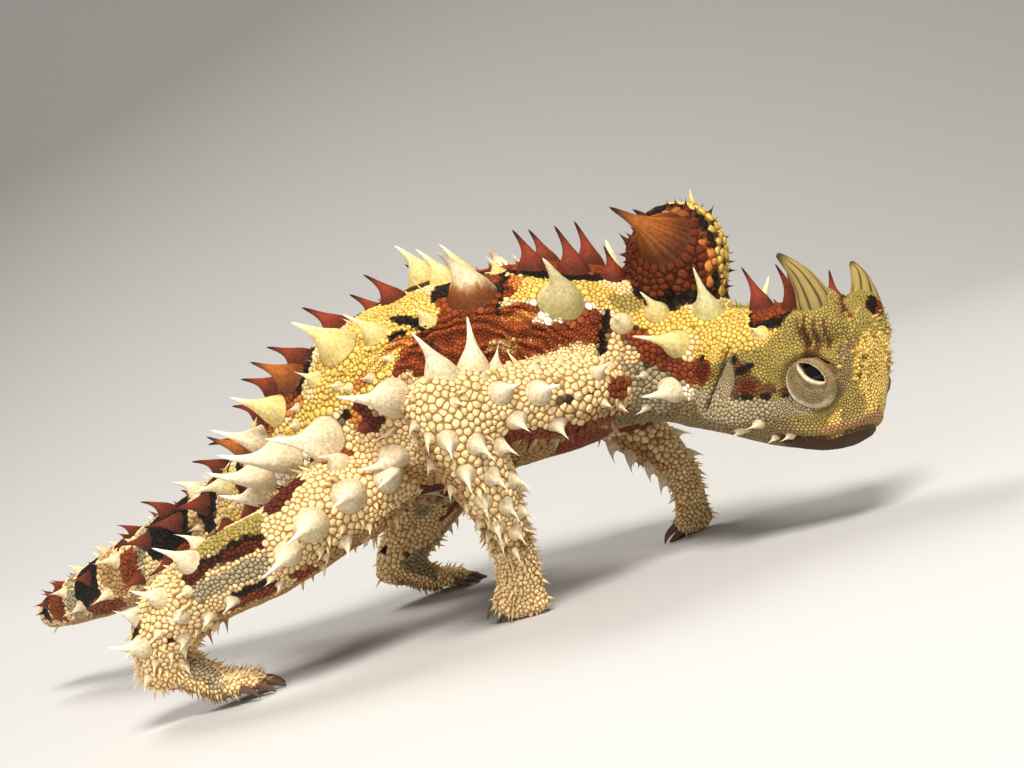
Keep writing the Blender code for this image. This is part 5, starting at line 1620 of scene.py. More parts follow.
def make_scales(sizes, coat):
    """All the scales of the body, in a piece for each region."""
    places, widths, facing, tree = scatter_scales(sizes)
    chance = np.random.default_rng(SCALE_SEED + 1)
    owner, share, angle = whose(places)
    _, _, ways, reach = cell_reach(places, widths, facing, WORK["thorns"], chance)
    hue = paint(places, owner, share, angle, colours_of(coat))
    hue = hue * (1 + 0.07 * chance.normal(size=len(places)))[:, None]
    lie = lie_of(owner, share, facing)
    size = reach.mean(axis=1) * 2
    high = size * 0.125
    limbs = ~is_part(owner, "trunk", "head", "knob")
    high[limbs] = size[limbs] * 0.17
    plates = is_part(owner, "head", "knob")
    high[plates] = size[plates] * 0.10
    odds = spike_odds(owner, share, angle)
    point = np.where(chance.random(len(places)) < odds, size * chance.uniform(0.8, 1.7, len(size)),
                     0.0)
    point[size < 0.25] = 0
    u, v = chart(owner, share, angle)
    uv = np.stack([u, v], axis=1)
    names = group_of(owner, share, angle)
    made = []
    for name in sorted(set(names)):
        mine = np.nonzero(names == name)[0]
        if len(mine) > MOST_SCALES:
            raise RuntimeError(f"piece {name} has {len(mine)} scales, too many for one piece")
        made.append(scale_piece("scales_" + name, places[mine], widths[mine], facing[mine],
                                lie[mine], ways[mine], reach[mine], hue[mine], high[mine],
                                point[mine], uv[mine]))
    return made


# Colours of a thorn at its root, halfway and at its point
THORN_TONES = {
    "white": ((0.61, 0.47, 0.28), (0.77, 0.65, 0.44), (0.86, 0.79, 0.62)),
    "pale": ((0.59, 0.44, 0.22), (0.73, 0.60, 0.36), (0.84, 0.76, 0.56)),
    "yellow": ((0.60, 0.45, 0.155), (0.73, 0.58, 0.25), (0.83, 0.73, 0.47)),
    "olive": ((0.44, 0.375, 0.15), (0.61, 0.525, 0.265), (0.77, 0.69, 0.45)),
    "rust": ((0.095, 0.022, 0.011), (0.22, 0.040, 0.018), (0.024, 0.009, 0.010)),
    "amber": ((0.14, 0.038, 0.011), (0.36, 0.105, 0.018), (0.026, 0.010, 0.009)),
    "face": ((0.48, 0.33, 0.085), (0.56, 0.40, 0.11), (0.09, 0.045, 0.020)),
    "dark": ((0.075, 0.022, 0.012), (0.05, 0.018, 0.012), (0.018, 0.010, 0.009)),
}
THORN_EDGE = (0.13, 0.065, 0.030)
STREAKS = 0.10
AMBER_STREAKS = 0.55


def three_way(tones, rise):
    root, middle, tip = (np.array(t) for t in tones)
    low = ramp(0.02, 0.42, rise)
    high = ramp(0.5, 0.95, rise)
    return (root * (1 - low) + middle * low) * (1 - high) + tip * high


def thorn_tone(thorn, root_hue, rise, spots, sides, chance):
    """Colours up a thorn: pale ones whiten to the point, dark ones redden and then blacken."""
    share = rise[:, None]
    name = thorn.tone or ("white" if root_hue.mean() > 0.2 else "rust")
    if name == "mixed":
        over = (spots - thorn.spot) @ unit(np.array((0.35, 0.0, 1.0))) / thorn.root
        cream = ramp(-0.25, 0.35, over + 0.25 * noise(spots, 0.5, 61))[:, None]
        cream = cream * (1 - ramp(0.5, 0.8, share)) + 0.4 * ramp(0.5, 0.8, share)
        tone = (three_way(THORN_TONES["amber"], share) * (1 - cream)
                + three_way(THORN_TONES["pale"], share) * cream)
    else:
        tone = three_way(THORN_TONES[name], share)
    if thorn.tone is None:
        tone = tone * 0.7 + root_hue * 0.3 * (1 - ramp(0.6, 0.9, share))
    strength = AMBER_STREAKS if name == "amber" and thorn.part == "knob" else STREAKS
    streak = np.array([chance.random() for _ in range(sides)])
    streak = streak[np.arange(len(spots)) % sides][:, None]
    tone = tone * (1 - strength * streak * (1 - ramp(0.3, 0.8, share)))
    edge = ramp(0.03, 0.0, share) * 0.85
    return tone * (1 - edge) + np.array(THORN_EDGE) * edge


def thorn_group(thorn):
    if thorn.part == "trunk":
        section = "front" if thorn.share < 0.365 else "back" if thorn.share < 0.6 else "tail"
    elif thorn.part in ("head", "knob"):
        section = thorn.part
    else:
        section = "arm" if "arm" in thorn.part else "leg"
    side = "right" if (thorn.angle > 0 or thorn.part.endswith("right")) else "left"
    if thorn.part.endswith("left"):
        side = "left"
    return section + "_" + side


def make_thorns(coat):
    """All the thorns, in a piece for each region and side."""
    chance = random.Random(THORN_SEED + 2)
    thorns = WORK["thorns"]
    roots = np.array([t.spot for t in thorns])
    owner = np.array([PART_NAMES.index(t.part) for t in thorns])
    share = np.array([t.share for t in thorns], float)
    angle = np.array([t.angle for t in thorns], float)
    hues = paint(roots, owner, share, angle, colours_of(coat))
    us, vs = chart(owner, share, angle)
    groups = {}
    for i, thorn in enumerate(thorns):
        groups.setdefault(thorn_group(thorn), []).append(i)
    made = []
    for name, rows in sorted(groups.items()):
        spots = []
        tones = []
        flats = []
        rises = []
        faces = []
        count = 0
        for i in rows:
            thorn = thorns[i]
            sides = 28 if thorn.root > 1.5 else 18 if thorn.root > 0.8 else 9
            sides = 72 if thorn.part == "knob" and thorn.root > 1.5 else sides
            some, rise, rings = thorn_spots(thorn, sides, chance, WORK["tree"])
            spots.append(some)
            tones.append(thorn_tone(thorn, hues[i], rise, some, sides, chance))
            rises.append(rise)
            turns = 2 * math.pi * np.arange(len(some)) / sides
            ring = np.stack([np.cos(turns), np.sin(turns)], axis=1) * (1 - rise)[:, None] * PATCH
            flats.append(np.array((us[i], vs[i])) + ring)
            faces += tube_triangles(rings, sides, count)
            count += len(some)
        item = mesh_piece("thorns_" + name, np.vstack(spots), faces)
        keep_value(item, "hue", np.clip(np.vstack(tones), 0, 0.95))
        keep_value(item, "rise", np.concatenate(rises))
        keep_unwrap(item, np.array(faces), np.vstack(flats))
        made.append(item)
    return made


def surface_tree(item):
    spots, _, triangles = read_mesh(item)
    return BVHTree.FromPolygons([tuple(p) for p in spots], [tuple(t) for t in triangles.tolist()])


# Eyes, lids, horns and claws

EYE_TURNS = 48
LID_SIDES = 96
LID_OPENING = (1.85, 0.66)
LID_TILT = -28.0
LID_OUTER = 2.8
LID_FOOT = 0.12
LID_CROWN = 6.85
LID_ROWS = 11
LID_STEPS = 34
LID_OVER_BALL = 0.26
HORN_SIDES = 96
HORN_RINGS = 56
HORN_RIDGES = 9
CLAW_SIDES = 14
CLAW_RINGS = 12


def ball_piece(name, centre, radius):
    """A finely turned ball whose poles look sideways out of the head."""
    rings = EYE_TURNS // 2
    spots = [head_spot(centre[0], centre[1] - radius, centre[2])]
    for i in range(1, rings):
        down = math.pi * i / rings
        for k in range(EYE_TURNS):
            turn = 2 * math.pi * k / EYE_TURNS
            spots.append(head_spot(centre[0] + radius * math.sin(down) * math.cos(turn),
                                   centre[1] - radius * math.cos(down),
                                   centre[2] + radius * math.sin(down) * math.sin(turn)))
    spots.append(head_spot(centre[0], centre[1] + radius, centre[2]))
    faces = []
    for k in range(EYE_TURNS):
        n = (k + 1) % EYE_TURNS
        faces.append((0, 1 + k, 1 + n))
        for i in range(rings - 2):
            a = 1 + i * EYE_TURNS
            faces.append((a + k, a + EYE_TURNS + k, a + EYE_TURNS + n))
            faces.append((a + k, a + EYE_TURNS + n, a + n))
        last = 1 + (rings - 2) * EYE_TURNS
        faces.append((last + k, len(spots) - 1, last + n))
    return mesh_piece(name, np.array(spots), faces)


def make_eyes(sizes):
    made = []
    for side, turn in (("right", -1), ("left", 1)):
        x, y, z = BALL_PLACE
        item = ball_piece("eyeball_" + side, (x, y * turn, z), sizes.eye_radius / MM)
        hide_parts("eye_" + side)
        made.append(item)
    return made


def lid_line(turn, grow):
    """A spot of the opening's edge, grown by some millimetres, as x and z of the head."""
    tilt = math.radians(LID_TILT)
    a = (LID_OPENING[0] + grow) * math.cos(turn)
    b = (LID_OPENING[1] + grow) * math.sin(turn) * (0.55 + 0.45 * abs(math.sin(turn)))
    return (LID_CENTRE[0] + a * math.cos(tilt) - b * math.sin(tilt),
            LID_CENTRE[1] + a * math.sin(tilt) + b * math.cos(tilt))


def make_lids(tree, colours):
    """Thick lids round each eye, and the rows of small scales on them."""
    made = []
    for side, sign in (("right", -1), ("left", 1)):
        turns = 2 * math.pi * np.arange(LID_SIDES) / LID_SIDES
        outer_x = TURRET_CENTRE[0] + LID_OUTER * np.cos(turns + math.radians(LID_TILT))
        outer_z = TURRET_CENTRE[1] + LID_OUTER * np.sin(turns + math.radians(LID_TILT))
        skin_far = []
        for x, z in zip(outer_x, outer_z):
            skin_far.append(side_of_head(tree, x, z, sign))
        skin_far = np.array(skin_far)
        grid = []
        steps = [(0.0, "inside"), (0.0, "edge"), (0.04, "lip")]
        steps += [(0.04 + 0.96 * i / LID_STEPS, "skin") for i in range(1, LID_STEPS + 1)]
        steps.append((1.0, "foot"))
        for t, mode in steps:
            inner = np.array([lid_line(turn, 0.0) for turn in turns])
            x = inner[:, 0] * (1 - t) + outer_x * t
            z = inner[:, 1] * (1 - t) + outer_z * t
            if mode == "foot":
                x = x + (outer_x - TURRET_CENTRE[0]) * LID_FOOT
                z = z + (outer_z - TURRET_CENTRE[1]) * LID_FOOT
            grid.append(np.stack([x, lid_depth(x, z, t, mode, skin_far), z], axis=1))
        rows = np.array(grid)
        spots = np.array([head_spot(x, y * sign, z) for x, y, z in rows.reshape(-1, 3)])
        faces = []
        for i in range(len(rows) - 1):
            for k in range(LID_SIDES):
                a = i * LID_SIDES + k
                b = i * LID_SIDES + (k + 1) % LID_SIDES
                if sign < 0:
                    faces += [(a, b, b + LID_SIDES), (a, b + LID_SIDES, a + LID_SIDES)]
                else:
                    faces += [(a, b + LID_SIDES, b), (a, a + LID_SIDES, b + LID_SIDES)]
        item = mesh_piece("lid_" + side, spots, faces)
        tones = [lid_tone(t, turn, colours) for t, _ in steps for turn in turns]
        keep_value(item, "hue", np.array(tones))
        made.append(item)
        made.append(lid_scales(side, sign, skin_far, outer_x, outer_z, colours))
    return made


def side_of_head(tree, x, z, sign):
    """How far out the skin is at a spot of the head's side."""
    start = Vector(head_spot(x, sign * 14.0, z))
    way = Vector(HEAD_MATRIX[:3, :3] @ np.array((0.0, -float(sign), 0.0)))
    hit = tree.ray_cast(start, way, 14.0)[0]
    if hit is None:
        return 6.5
    return abs(to_head(np.array(hit)[None])[0, 1])


def lid_depth(x, z, t, mode, skin_far):
    """How far out of the head's middle a lid's surface lies."""
    away = np.hypot(x - BALL_PLACE[0], z - BALL_PLACE[2])

    def over_ball(more):
        return BALL_PLACE[1] + np.sqrt(np.maximum((BALL_RADIUS + more) ** 2 - away ** 2, 0.04))

    if mode == "inside":
        return over_ball(-0.12)
    if mode == "foot":
        return skin_far - 0.35
    ball = over_ball(0.10 if mode == "edge" else LID_OVER_BALL)
    fall = ramp(0.72, 1.0, t)
    rest = skin_far - 0.15
    wide = TURRET_SET + 1.8 * np.sqrt(np.maximum(1 - (away / 3.8) ** 2, 0.0)) + 0.10
    slope = skin_far + 0.12 + (LID_CROWN - skin_far) * (1 - t)
    over = np.maximum.reduce([ball, wide, slope])
    ridge = (0.16 * hill(t, 0.11, 0.06) - 0.10 * hill(t, 0.26, 0.06) + 0.14 * hill(t, 0.84, 0.07)
             - 0.08 * hill(t, 0.70, 0.05))
    depth = over * (1 - fall) + rest * fall + ridge
    return np.where(away < BALL_RADIUS + 0.1, np.maximum(depth, over_ball(0.12)), depth)


def lid_tone(t, turn, colours):
    """The colour of a lid: pale thick edges, grey below, tan above, dark outermost."""
    low = float(ramp(0.35, 0.75, 0.5 - 0.5 * math.sin(turn)))
    grey = np.array(colours["drab"]) * 1.1
    tan = np.array(colours["tan"])
    white = np.array(colours["white"]) * 0.66 + tan * 0.30
    brown = np.array(colours["brown"]) * 0.7
    rows = 1 - 0.34 * (0.5 + 0.5 * math.cos(60 * t))
    base = (tan * 0.16 + grey * 0.74) * (1 - low) + grey * rows * low
    edge = float(ramp(0.145, 0.09, t)) * (0.20 + 0.80 * low)
    base = base * (1 - edge) + white * edge
    warm = float(hill(t, 0.24, 0.035)) * low
    base = base * (1 - warm) + tan * 0.8 * warm
    second = float(ramp(0.76, 0.82, t) * ramp(0.95, 0.91, t)) * low
    base = base * (1 - second) + white * 0.85 * second
    inner = float(ramp(0.03, 0.0, t)) * 0.9
    dark = max(float(hill(t, 0.985, 0.04)) * 0.9, inner)
    return base * (1 - dark) + brown * dark


def lid_scales(side, sign, skin_far, outer_x, outer_z, colours):
    """Small round scales in rows on a lid."""
    chance = np.random.default_rng(SCALE_SEED + 11)
    places = []
    facing = []
    wides = []
    tones = []
    inner = np.array([lid_line(2 * math.pi * k / LID_SIDES, 0.0) for k in range(LID_SIDES)])
    for row in range(LID_ROWS):
        t = 0.07 + 0.89 * row / (LID_ROWS - 1)
        line_x = inner[:, 0] * (1 - t) + outer_x * t
        line_z = inner[:, 1] * (1 - t) + outer_z * t
        line_y = lid_depth(line_x, line_z, t, "skin", skin_far)
        line = np.stack([line_x, line_y * sign, line_z], axis=1)
        steps = np.linalg.norm(np.roll(line, -1, axis=0) - line, axis=1)
        along = np.concatenate([[0], np.cumsum(steps)])
        wide = 0.24 if row == 0 else 0.27
        count = int(along[-1] / wide)
        for k in range(count):
            spot = (k + 0.5 * (row % 2) + 0.12 * chance.normal()) * along[-1] / count % along[-1]
            i = min(int(np.searchsorted(along, spot, side="right")) - 1, LID_SIDES - 1)
            part = (spot - along[i]) / steps[i]
            place = line[i] * (1 - part) + line[(i + 1) % LID_SIDES] * part
            out = place - np.array((BALL_PLACE[0], BALL_PLACE[1] * sign * 0.72, BALL_PLACE[2]))
            places.append(head_spot(*place))
            facing.append(HEAD_MATRIX[:3, :3] @ unit(out))
            wides.append(wide * chance.uniform(0.9, 1.08))
            turn = 2 * math.pi * (i + part) / LID_SIDES
            tones.append(lid_tone(t, turn, colours) * (1 + 0.08 * chance.normal()))
    places = np.array(places)
    facing = np.array(facing)
    wides = np.array(wides)
    first = unit(np.cross(facing, unit(chance.normal(size=facing.shape))))
    second = np.cross(facing, first)
    turns = 2 * math.pi * np.arange(SIDES) / SIDES
    ways = (first[:, None] * np.cos(turns)[None, :, None]
            + second[:, None] * np.sin(turns)[None, :, None])
    reach = np.repeat((wides * 0.56)[:, None], SIDES, axis=1)
    owner = np.full(len(places), PART_NAMES.index("head"))
    _, share, angle = whose(places)
    u, v = chart(owner, share, angle)
    nothing = np.zeros(len(places))
    return scale_piece("lid_scales_" + side, places, wides, facing, np.zeros_like(facing), ways,
                       reach, np.array(tones), wides * 0.16, nothing,
                       np.stack([u, v], axis=1))


def smooth_path(points, steps):
    """A smooth line through points, and its headings."""
    rows = [(*p, 1.0, 1.0) for p in points]
    line = Length(rows)
    shares = np.linspace(0, 1, steps)
    spots = line.row(shares)[:, :3]
    heading = unit(np.gradient(spots, axis=0))
    return spots, heading


def make_horns(colour):
    """The long horns over the eyes: ribbed, a little bent and seen through."""
    made = []
    for side, sign in (("right", -1), ("left", 1)):
        points = [head_spot(x, y * sign, z) for x, y, z in HORN_PATH]
        spots, heading = smooth_path(points, HORN_RINGS)
        shares = np.linspace(0, 1, HORN_RINGS)
        radii = np.interp(shares, np.linspace(0, 1, len(HORN_RADII)), HORN_RADII)
        radii = radii * (1 - 0.10 * hill(shares, 0.16, 0.10))
        radii[-1] = 0.05
        first = unit(np.cross(heading, HEAD_MATRIX[:3, 1] * 0.3 + HEAD_MATRIX[:3, 0]))
        second = np.cross(heading, first)
        rings = []
        tones = []
        pale = np.array(colour)
        dark = np.array((0.055, 0.024, 0.014))
        for i in range(HORN_RINGS):
            for k in range(HORN_SIDES):
                turn = 2 * math.pi * k / HORN_SIDES
                wander = 0.5 * math.sin(6 * shares[i] + sign)
                rib = math.cos(HORN_RIDGES * turn + wander)
                size = radii[i] * (1 + 0.045 * rib * (1 - shares[i]))
                rings.append(spots[i] + (first[i] * math.cos(turn) + second[i] * math.sin(turn))
                             * size)
                length = 0.55 + 0.45 * abs(math.sin(2.3 * HORN_RIDGES * turn / 6.3 + 1.1))
                streak = (float(ramp(-0.55, -0.9, rib))
                          * float(ramp(length, length - 0.15, shares[i])))
                way = first[i] * math.cos(turn) + second[i] * math.sin(turn)
                tip = float(ramp(0.78, 0.95, shares[i])) * 0.95
                foot = float(ramp(0.10, 0.0, shares[i])) * 0.6
                # Painted shade: the side of each horn that faces the tail is darkened
                behind = -float(way @ HEAD_MATRIX[:3, 0])
                back = float(ramp(0.45, 0.95, behind)) * float(ramp(0.15, 0.6, shares[i]))
                cover = min(1.0, max(streak * 0.92, tip, foot, back * 0.85))
                tones.append(pale * (1 - cover) + dark * cover)
        rings.append(spots[-1] + heading[-1] * 0.1)
        tones.append(dark)
        faces = tube_triangles(HORN_RINGS, HORN_SIDES)
        item = mesh_piece("horncap_" + side, np.array(rings), faces)
        keep_value(item, "hue", np.array(tones))
        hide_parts("horn_" + side)
        made.append(item)
    return made


def make_claws(sizes):
    """A curved claw at the end of each toe."""
    made = []
    length = sizes.claw_length / MM
    for name, shape in FEET.items():
        spots = []
        faces = []
        count = 0
        for points, way in toes_of(shape):
            tip = points[-1]
            down = np.array((0.0, 0.0, -1.0))
            bend = unit(down - way * way[2] * -1.0 + np.array((1e-3, 0, 0)))
            rows = [tip - way * 0.9, tip + way * length * 0.35,
                    tip + way * length * 0.72 + bend * length * 0.10,
                    tip + way * length * 0.98 + bend * length * 0.30]
            for row in rows:
                row[2] = max(row[2], 0.16)
            line, heading = smooth_path(rows, CLAW_RINGS)
            first = unit(np.cross(heading, (0.2, 0.3, 0.93)))
            second = np.cross(heading, first)
            for i in range(CLAW_RINGS):
                size = CLAW_RADIUS * (1 - (i / (CLAW_RINGS - 1)) ** 1.4) + 0.03
                for k in range(CLAW_SIDES):
                    turn = 2 * math.pi * k / CLAW_SIDES
                    spots.append(line[i] + (first[i] * math.cos(turn) * 0.8
                                            + second[i] * math.sin(turn)) * size)
            spots.append(line[-1] + heading[-1] * 0.05)
            faces += tube_triangles(CLAW_RINGS, CLAW_SIDES, count)
            count = len(spots)
        spots = np.array(spots)
        spots[:, 2] = np.maximum(spots[:, 2], 0.02)
        made.append(mesh_piece("claws_" + name, spots, faces))
    return made


# Materials

def new_look(name):
    look = bpy.data.materials.new(name)
    look.use_nodes = True
    return look, look.node_tree, look.node_tree.nodes["Principled BSDF"]


def set_inputs(node, **values):
    for key, value in values.items():
        node.inputs[key.replace("_", " ")].default_value = value


def mix(tree, kind, share, first, second):
    """A colour mix; share, first and second are sockets or values."""
    node = tree.nodes.new("ShaderNodeMix")
    node.data_type = "RGBA"
    node.blend_type = kind
    for socket, value in ((node.inputs[0], share), (node.inputs[6], first),
                          (node.inputs[7], second)):
        if isinstance(value, bpy.types.NodeSocket):
            tree.links.new(value, socket)
        else:
            socket.default_value = value
    return node.outputs[2]


def grain(tree, scale, detail=3.0):
    place = tree.nodes.new("ShaderNodeTexCoord")
    node = tree.nodes.new("ShaderNodeTexNoise")
    node.inputs["Scale"].default_value = scale
    node.inputs["Detail"].default_value = detail
    tree.links.new(place.outputs["Object"], node.inputs["Vector"])
    return node.outputs["Fac"]


def bump(tree, height, distance, strength):
    node = tree.nodes.new("ShaderNodeBump")
    node.inputs["Distance"].default_value = distance
    node.inputs["Strength"].default_value = strength
    tree.links.new(height, node.inputs["Height"])
    return node.outputs["Normal"]


def shift(tree, value, low, high):
    node = tree.nodes.new("ShaderNodeMapRange")
    node.inputs["From Min"].default_value = 0.3
    node.inputs["From Max"].default_value = 0.7
    node.inputs["To Min"].default_value = low
    node.inputs["To Max"].default_value = high
    tree.links.new(value, node.inputs["Value"])
    return node.outputs["Result"]


def coat_look(name, grain_scale, grain_depth, rough, under):
    """Skin or scales: the stored hue, mottled finely, dull and a little soft."""
    look, tree, body = new_look(name)
    hue = tree.nodes.new("ShaderNodeAttribute")
    hue.attribute_name = "hue"
    mottle = shift(tree, grain(tree, grain_scale), 0.72, 1.22)
    tint = tree.nodes.new("ShaderNodeVectorMath")
    tint.operation = "SCALE"
    tree.links.new(hue.outputs["Color"], tint.inputs[0])
    tree.links.new(mottle, tint.inputs["Scale"])
    tree.links.new(tint.outputs["Vector"], body.inputs["Base Color"])
    tree.links.new(bump(tree, grain(tree, grain_scale * 2.2, 4.0), grain_depth, 0.7),
                   body.inputs["Normal"])
    set_inputs(body, Roughness=rough, Subsurface_Weight=under, Subsurface_Scale=0.0006)
    body.inputs["Subsurface Radius"].default_value = (1.0, 0.5, 0.3)
    body.inputs["Specular IOR Level"].default_value = 0.3
    return look


def eye_look(colour):
    look, _, body = new_look("eye")
    body.inputs["Base Color"].default_value = (*colour, 1)
    set_inputs(body, Roughness=0.05)
    body.inputs["Specular IOR Level"].default_value = 0.3
    return look


def horn_look():
    look, tree, body = new_look("horn")
    hue = tree.nodes.new("ShaderNodeAttribute")
    hue.attribute_name = "hue"
    tree.links.new(hue.outputs["Color"], body.inputs["Base Color"])
    tree.links.new(bump(tree, grain(tree, 900.0), 0.0001, 0.5), body.inputs["Normal"])
    set_inputs(body, Roughness=0.5, Subsurface_Weight=0.35, Subsurface_Scale=0.0015)
    body.inputs["Specular IOR Level"].default_value = 0.35
    body.inputs["Subsurface Radius"].default_value = (1.0, 0.6, 0.3)
    return look


def claw_look(colour):
    look, tree, body = new_look("claw")
    warm = mix(tree, "MIX", grain(tree, 900.0), (*colour, 1),
               (colour[0] * 2.4, colour[1] * 2.0, colour[2] * 1.6, 1))
    tree.links.new(warm, body.inputs["Base Color"])
    set_inputs(body, Roughness=0.35, Coat_Weight=0.2, Coat_Roughness=0.25)
    return look


def plain_look(name, colour, rough):
    look, _, body = new_look(name)
    body.inputs["Base Color"].default_value = (*colour, 1)
    body.inputs["Roughness"].default_value = rough
    body.inputs["Specular IOR Level"].default_value = 0.2
    return look


def dress(item, look):
    item.data.materials.append(look)
    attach(item, BODY)


# Camera, floor and lights

CAMERA_TARGET = (0.0, 0.0, 25.2)
CAMERA_AWAY = 220.0
CAMERA_AZIMUTH = 15.0
CAMERA_ELEVATION = 2.0
CAMERA_ROLL = 18.0
CAMERA_SENSOR = 36.0
CAMERA_LENS = 64.45
FLOOR_WIDE = 2.6
FLOOR_NEAR = -1.0
FLOOR_BEND_STARTS = 0.30
FLOOR_BEND_RADIUS = 0.45
WALL_HIGH = 1.7


def camera_axes():
    """Right, up and forward of the camera, turned and rolled as the photograph has it."""
    turn = math.radians(CAMERA_AZIMUTH)
    rise = math.radians(CAMERA_ELEVATION)
    roll = math.radians(CAMERA_ROLL)
    forward = Vector((-math.sin(turn) * math.cos(rise), math.cos(turn) * math.cos(rise),
                      -math.sin(rise)))
    level = Vector((math.cos(turn), math.sin(turn), 0.0))
    above = level.cross(forward)
    right = level * math.cos(roll) - above * math.sin(roll)
    up = level * math.sin(roll) + above * math.cos(roll)
    return right, up, forward


def place_camera():
    right, up, forward = camera_axes()
    spot = Vector(CAMERA_TARGET) - forward * CAMERA_AWAY
    data = bpy.data.cameras.new("camera")
    data.sensor_width = CAMERA_SENSOR
    data.lens = CAMERA_LENS
    data.clip_start = 0.01
    data.clip_end = 20.0
    item = bpy.data.objects.new("camera", data)
    item.matrix_world = (Matrix.Translation(Vector(to_metres(np.array(spot))))
                         @ Matrix((right, up, -forward)).transposed().to_4x4())
    bpy.context.scene.collection.objects.link(item)
    bpy.context.scene.camera = item
    return item


def make_floor(colour):
    """A pale floor that bends up into the wall behind."""
    profile = [(FLOOR_NEAR, 0.0), (FLOOR_BEND_STARTS, 0.0)]
    for i in range(1, 25):
        turn = math.pi / 2 * i / 24
        profile.append((FLOOR_BEND_STARTS + FLOOR_BEND_RADIUS * math.sin(turn),
                        FLOOR_BEND_RADIUS * (1 - math.cos(turn))))
    profile.append((FLOOR_BEND_STARTS + FLOOR_BEND_RADIUS, WALL_HIGH))
    turn = math.radians(CAMERA_AZIMUTH)
    level = Vector((math.cos(turn), math.sin(turn), 0.0))
    away = Vector((-math.sin(turn), math.cos(turn), 0.0))
    spots = []
    for far, high in profile:
        for side in (-1, 1):
            spots.append(tuple(level * (side * FLOOR_WIDE / 2) + away * far
                               + Vector((0, 0, high))))
    faces = [(2 * i, 2 * i + 1, 2 * i + 3, 2 * i + 2) for i in range(len(profile) - 1)]
    mesh = bpy.data.meshes.new("floor")
    mesh.from_pydata(spots, [], faces)
    mesh.shade_smooth()
    mesh.materials.append(plain_look("floor", colour, 0.9))
    item = bpy.data.objects.new("floor", mesh)
    bpy.context.scene.collection.objects.link(item)


def make_light(name, right_share, up_share, back_share, size, power, tint):
    """A soft square light, placed by the camera's own axes and turned to the animal."""
    level = Vector((math.cos(math.radians(CAMERA_AZIMUTH)),
                    math.sin(math.radians(CAMERA_AZIMUTH)), 0.0))
    toward = Vector((math.sin(math.radians(CAMERA_AZIMUTH)),
                     -math.cos(math.radians(CAMERA_AZIMUTH)), 0.0))
    aim = Vector(to_metres(np.array((0.0, -4.0, 22.0))))
    spot = aim + level * right_share + Vector((0, 0, up_share)) + toward * back_share
    data = bpy.data.lights.new(name, "AREA")
    data.shape = "DISK"
    data.size = size
    data.energy = power
    data.color = tint
    item = bpy.data.objects.new(name, data)
    item.location = spot
    item.rotation_euler = (aim - spot).to_track_quat("-Z", "Y").to_euler()
    item.visible_glossy = name == "spark"
    bpy.context.scene.collection.objects.link(item)


def make_world(strength):
    world = bpy.data.worlds.new("studio")
    world.use_nodes = True
    ground = world.node_tree.nodes["Background"]
    ground.inputs["Color"].default_value = (1.0, 0.98, 0.95, 1)
    ground.inputs["Strength"].default_value = strength
    bpy.context.scene.world = world


# What a user may change, and the operators that build each piece

def length_of(name, text, value):
    return bpy.props.FloatProperty(name=name, description=text, default=value, unit="LENGTH",
                                   min=0.0, precision=5)


def colour_of(name, text, value):
    return bpy.props.FloatVectorProperty(name=name, description=text, default=value,
                                         subtype="COLOR", size=3, min=0.0, max=1.0)


class DevilSizes(bpy.types.PropertyGroup):
    """Sizes of the animal's coat."""

    skin_grain: length_of("Skin grain", "Size of the skin's faces", 0.00052)
    coat_depth: length_of("Coat depth", "How deep the skin lies under the scales", 0.00018)
    scale_size: length_of("Scale size", "Width of a middling scale", 0.0006)
    eye_radius: length_of("Eye radius", "Radius of the eyeballs", BALL_RADIUS * MM)
    claw_length: length_of("Claw length", "Length of a claw past its toe", CLAW_LENGTH * MM)


class DevilCoat(bpy.types.PropertyGroup):
    """Colours of the markings, horns, eyes and claws."""

    pale: colour_of("Pale", "Ground colour of the sides and limbs", (0.81, 0.585, 0.29))
    white: colour_of("White", "Whitest scales", (0.90, 0.81, 0.60))
    yellow: colour_of("Yellow", "Bands along the back and the face", (0.68, 0.46, 0.11))
    # Gold: the face's own yellow, made brighter with painted light on the snout's front
    gold: colour_of("Gold", "Bright yellow of the face", (0.84, 0.60, 0.16))
    olive: colour_of("Olive", "Sides of the head and shank", (0.33, 0.255, 0.07))
    grey: colour_of("Grey", "Cheeks and tympanum", (0.36, 0.305, 0.185))
    drab: colour_of("Drab", "Throat, jaw and lids", (0.26, 0.19, 0.09))
    tan: colour_of("Tan", "Belly and lips", (0.44, 0.26, 0.10))
    orange: colour_of("Orange", "Edges of the dark patches", (0.52, 0.19, 0.04))
    brown: colour_of("Brown", "Streaks of the head", (0.15, 0.066, 0.026))
    chin: colour_of("Chin", "Lower jaw", (0.078, 0.037, 0.014))
    knob: colour_of("Knob", "Plates of the knob", (0.115, 0.024, 0.007))
    rust: colour_of("Rust", "Large patches of the flanks", (0.21, 0.046, 0.013))
    maroon: colour_of("Maroon", "Darkest patches", (0.090, 0.020, 0.010))
    black: colour_of("Black", "Borders of the patches", (0.014, 0.010, 0.008))
    horn: colour_of("Horn", "Clear yellow of the horns", (0.29, 0.215, 0.065))
    eye: colour_of("Eye", "Eyeballs", (0.005, 0.004, 0.004))
    claw: colour_of("Claw", "Claws", (0.06, 0.035, 0.022))


class DevilStage(bpy.types.PropertyGroup):
    """The studio round the animal."""

    floor: colour_of("Floor", "Floor and wall", (0.46, 0.45, 0.43))
    power: bpy.props.FloatProperty(name="Light", description="Strength of the main light in watts",
                                   default=4.9, min=0.0)
    glow: bpy.props.FloatProperty(name="Surroundings", description="Strength of the light around",
                                  default=0.20, min=0.0)


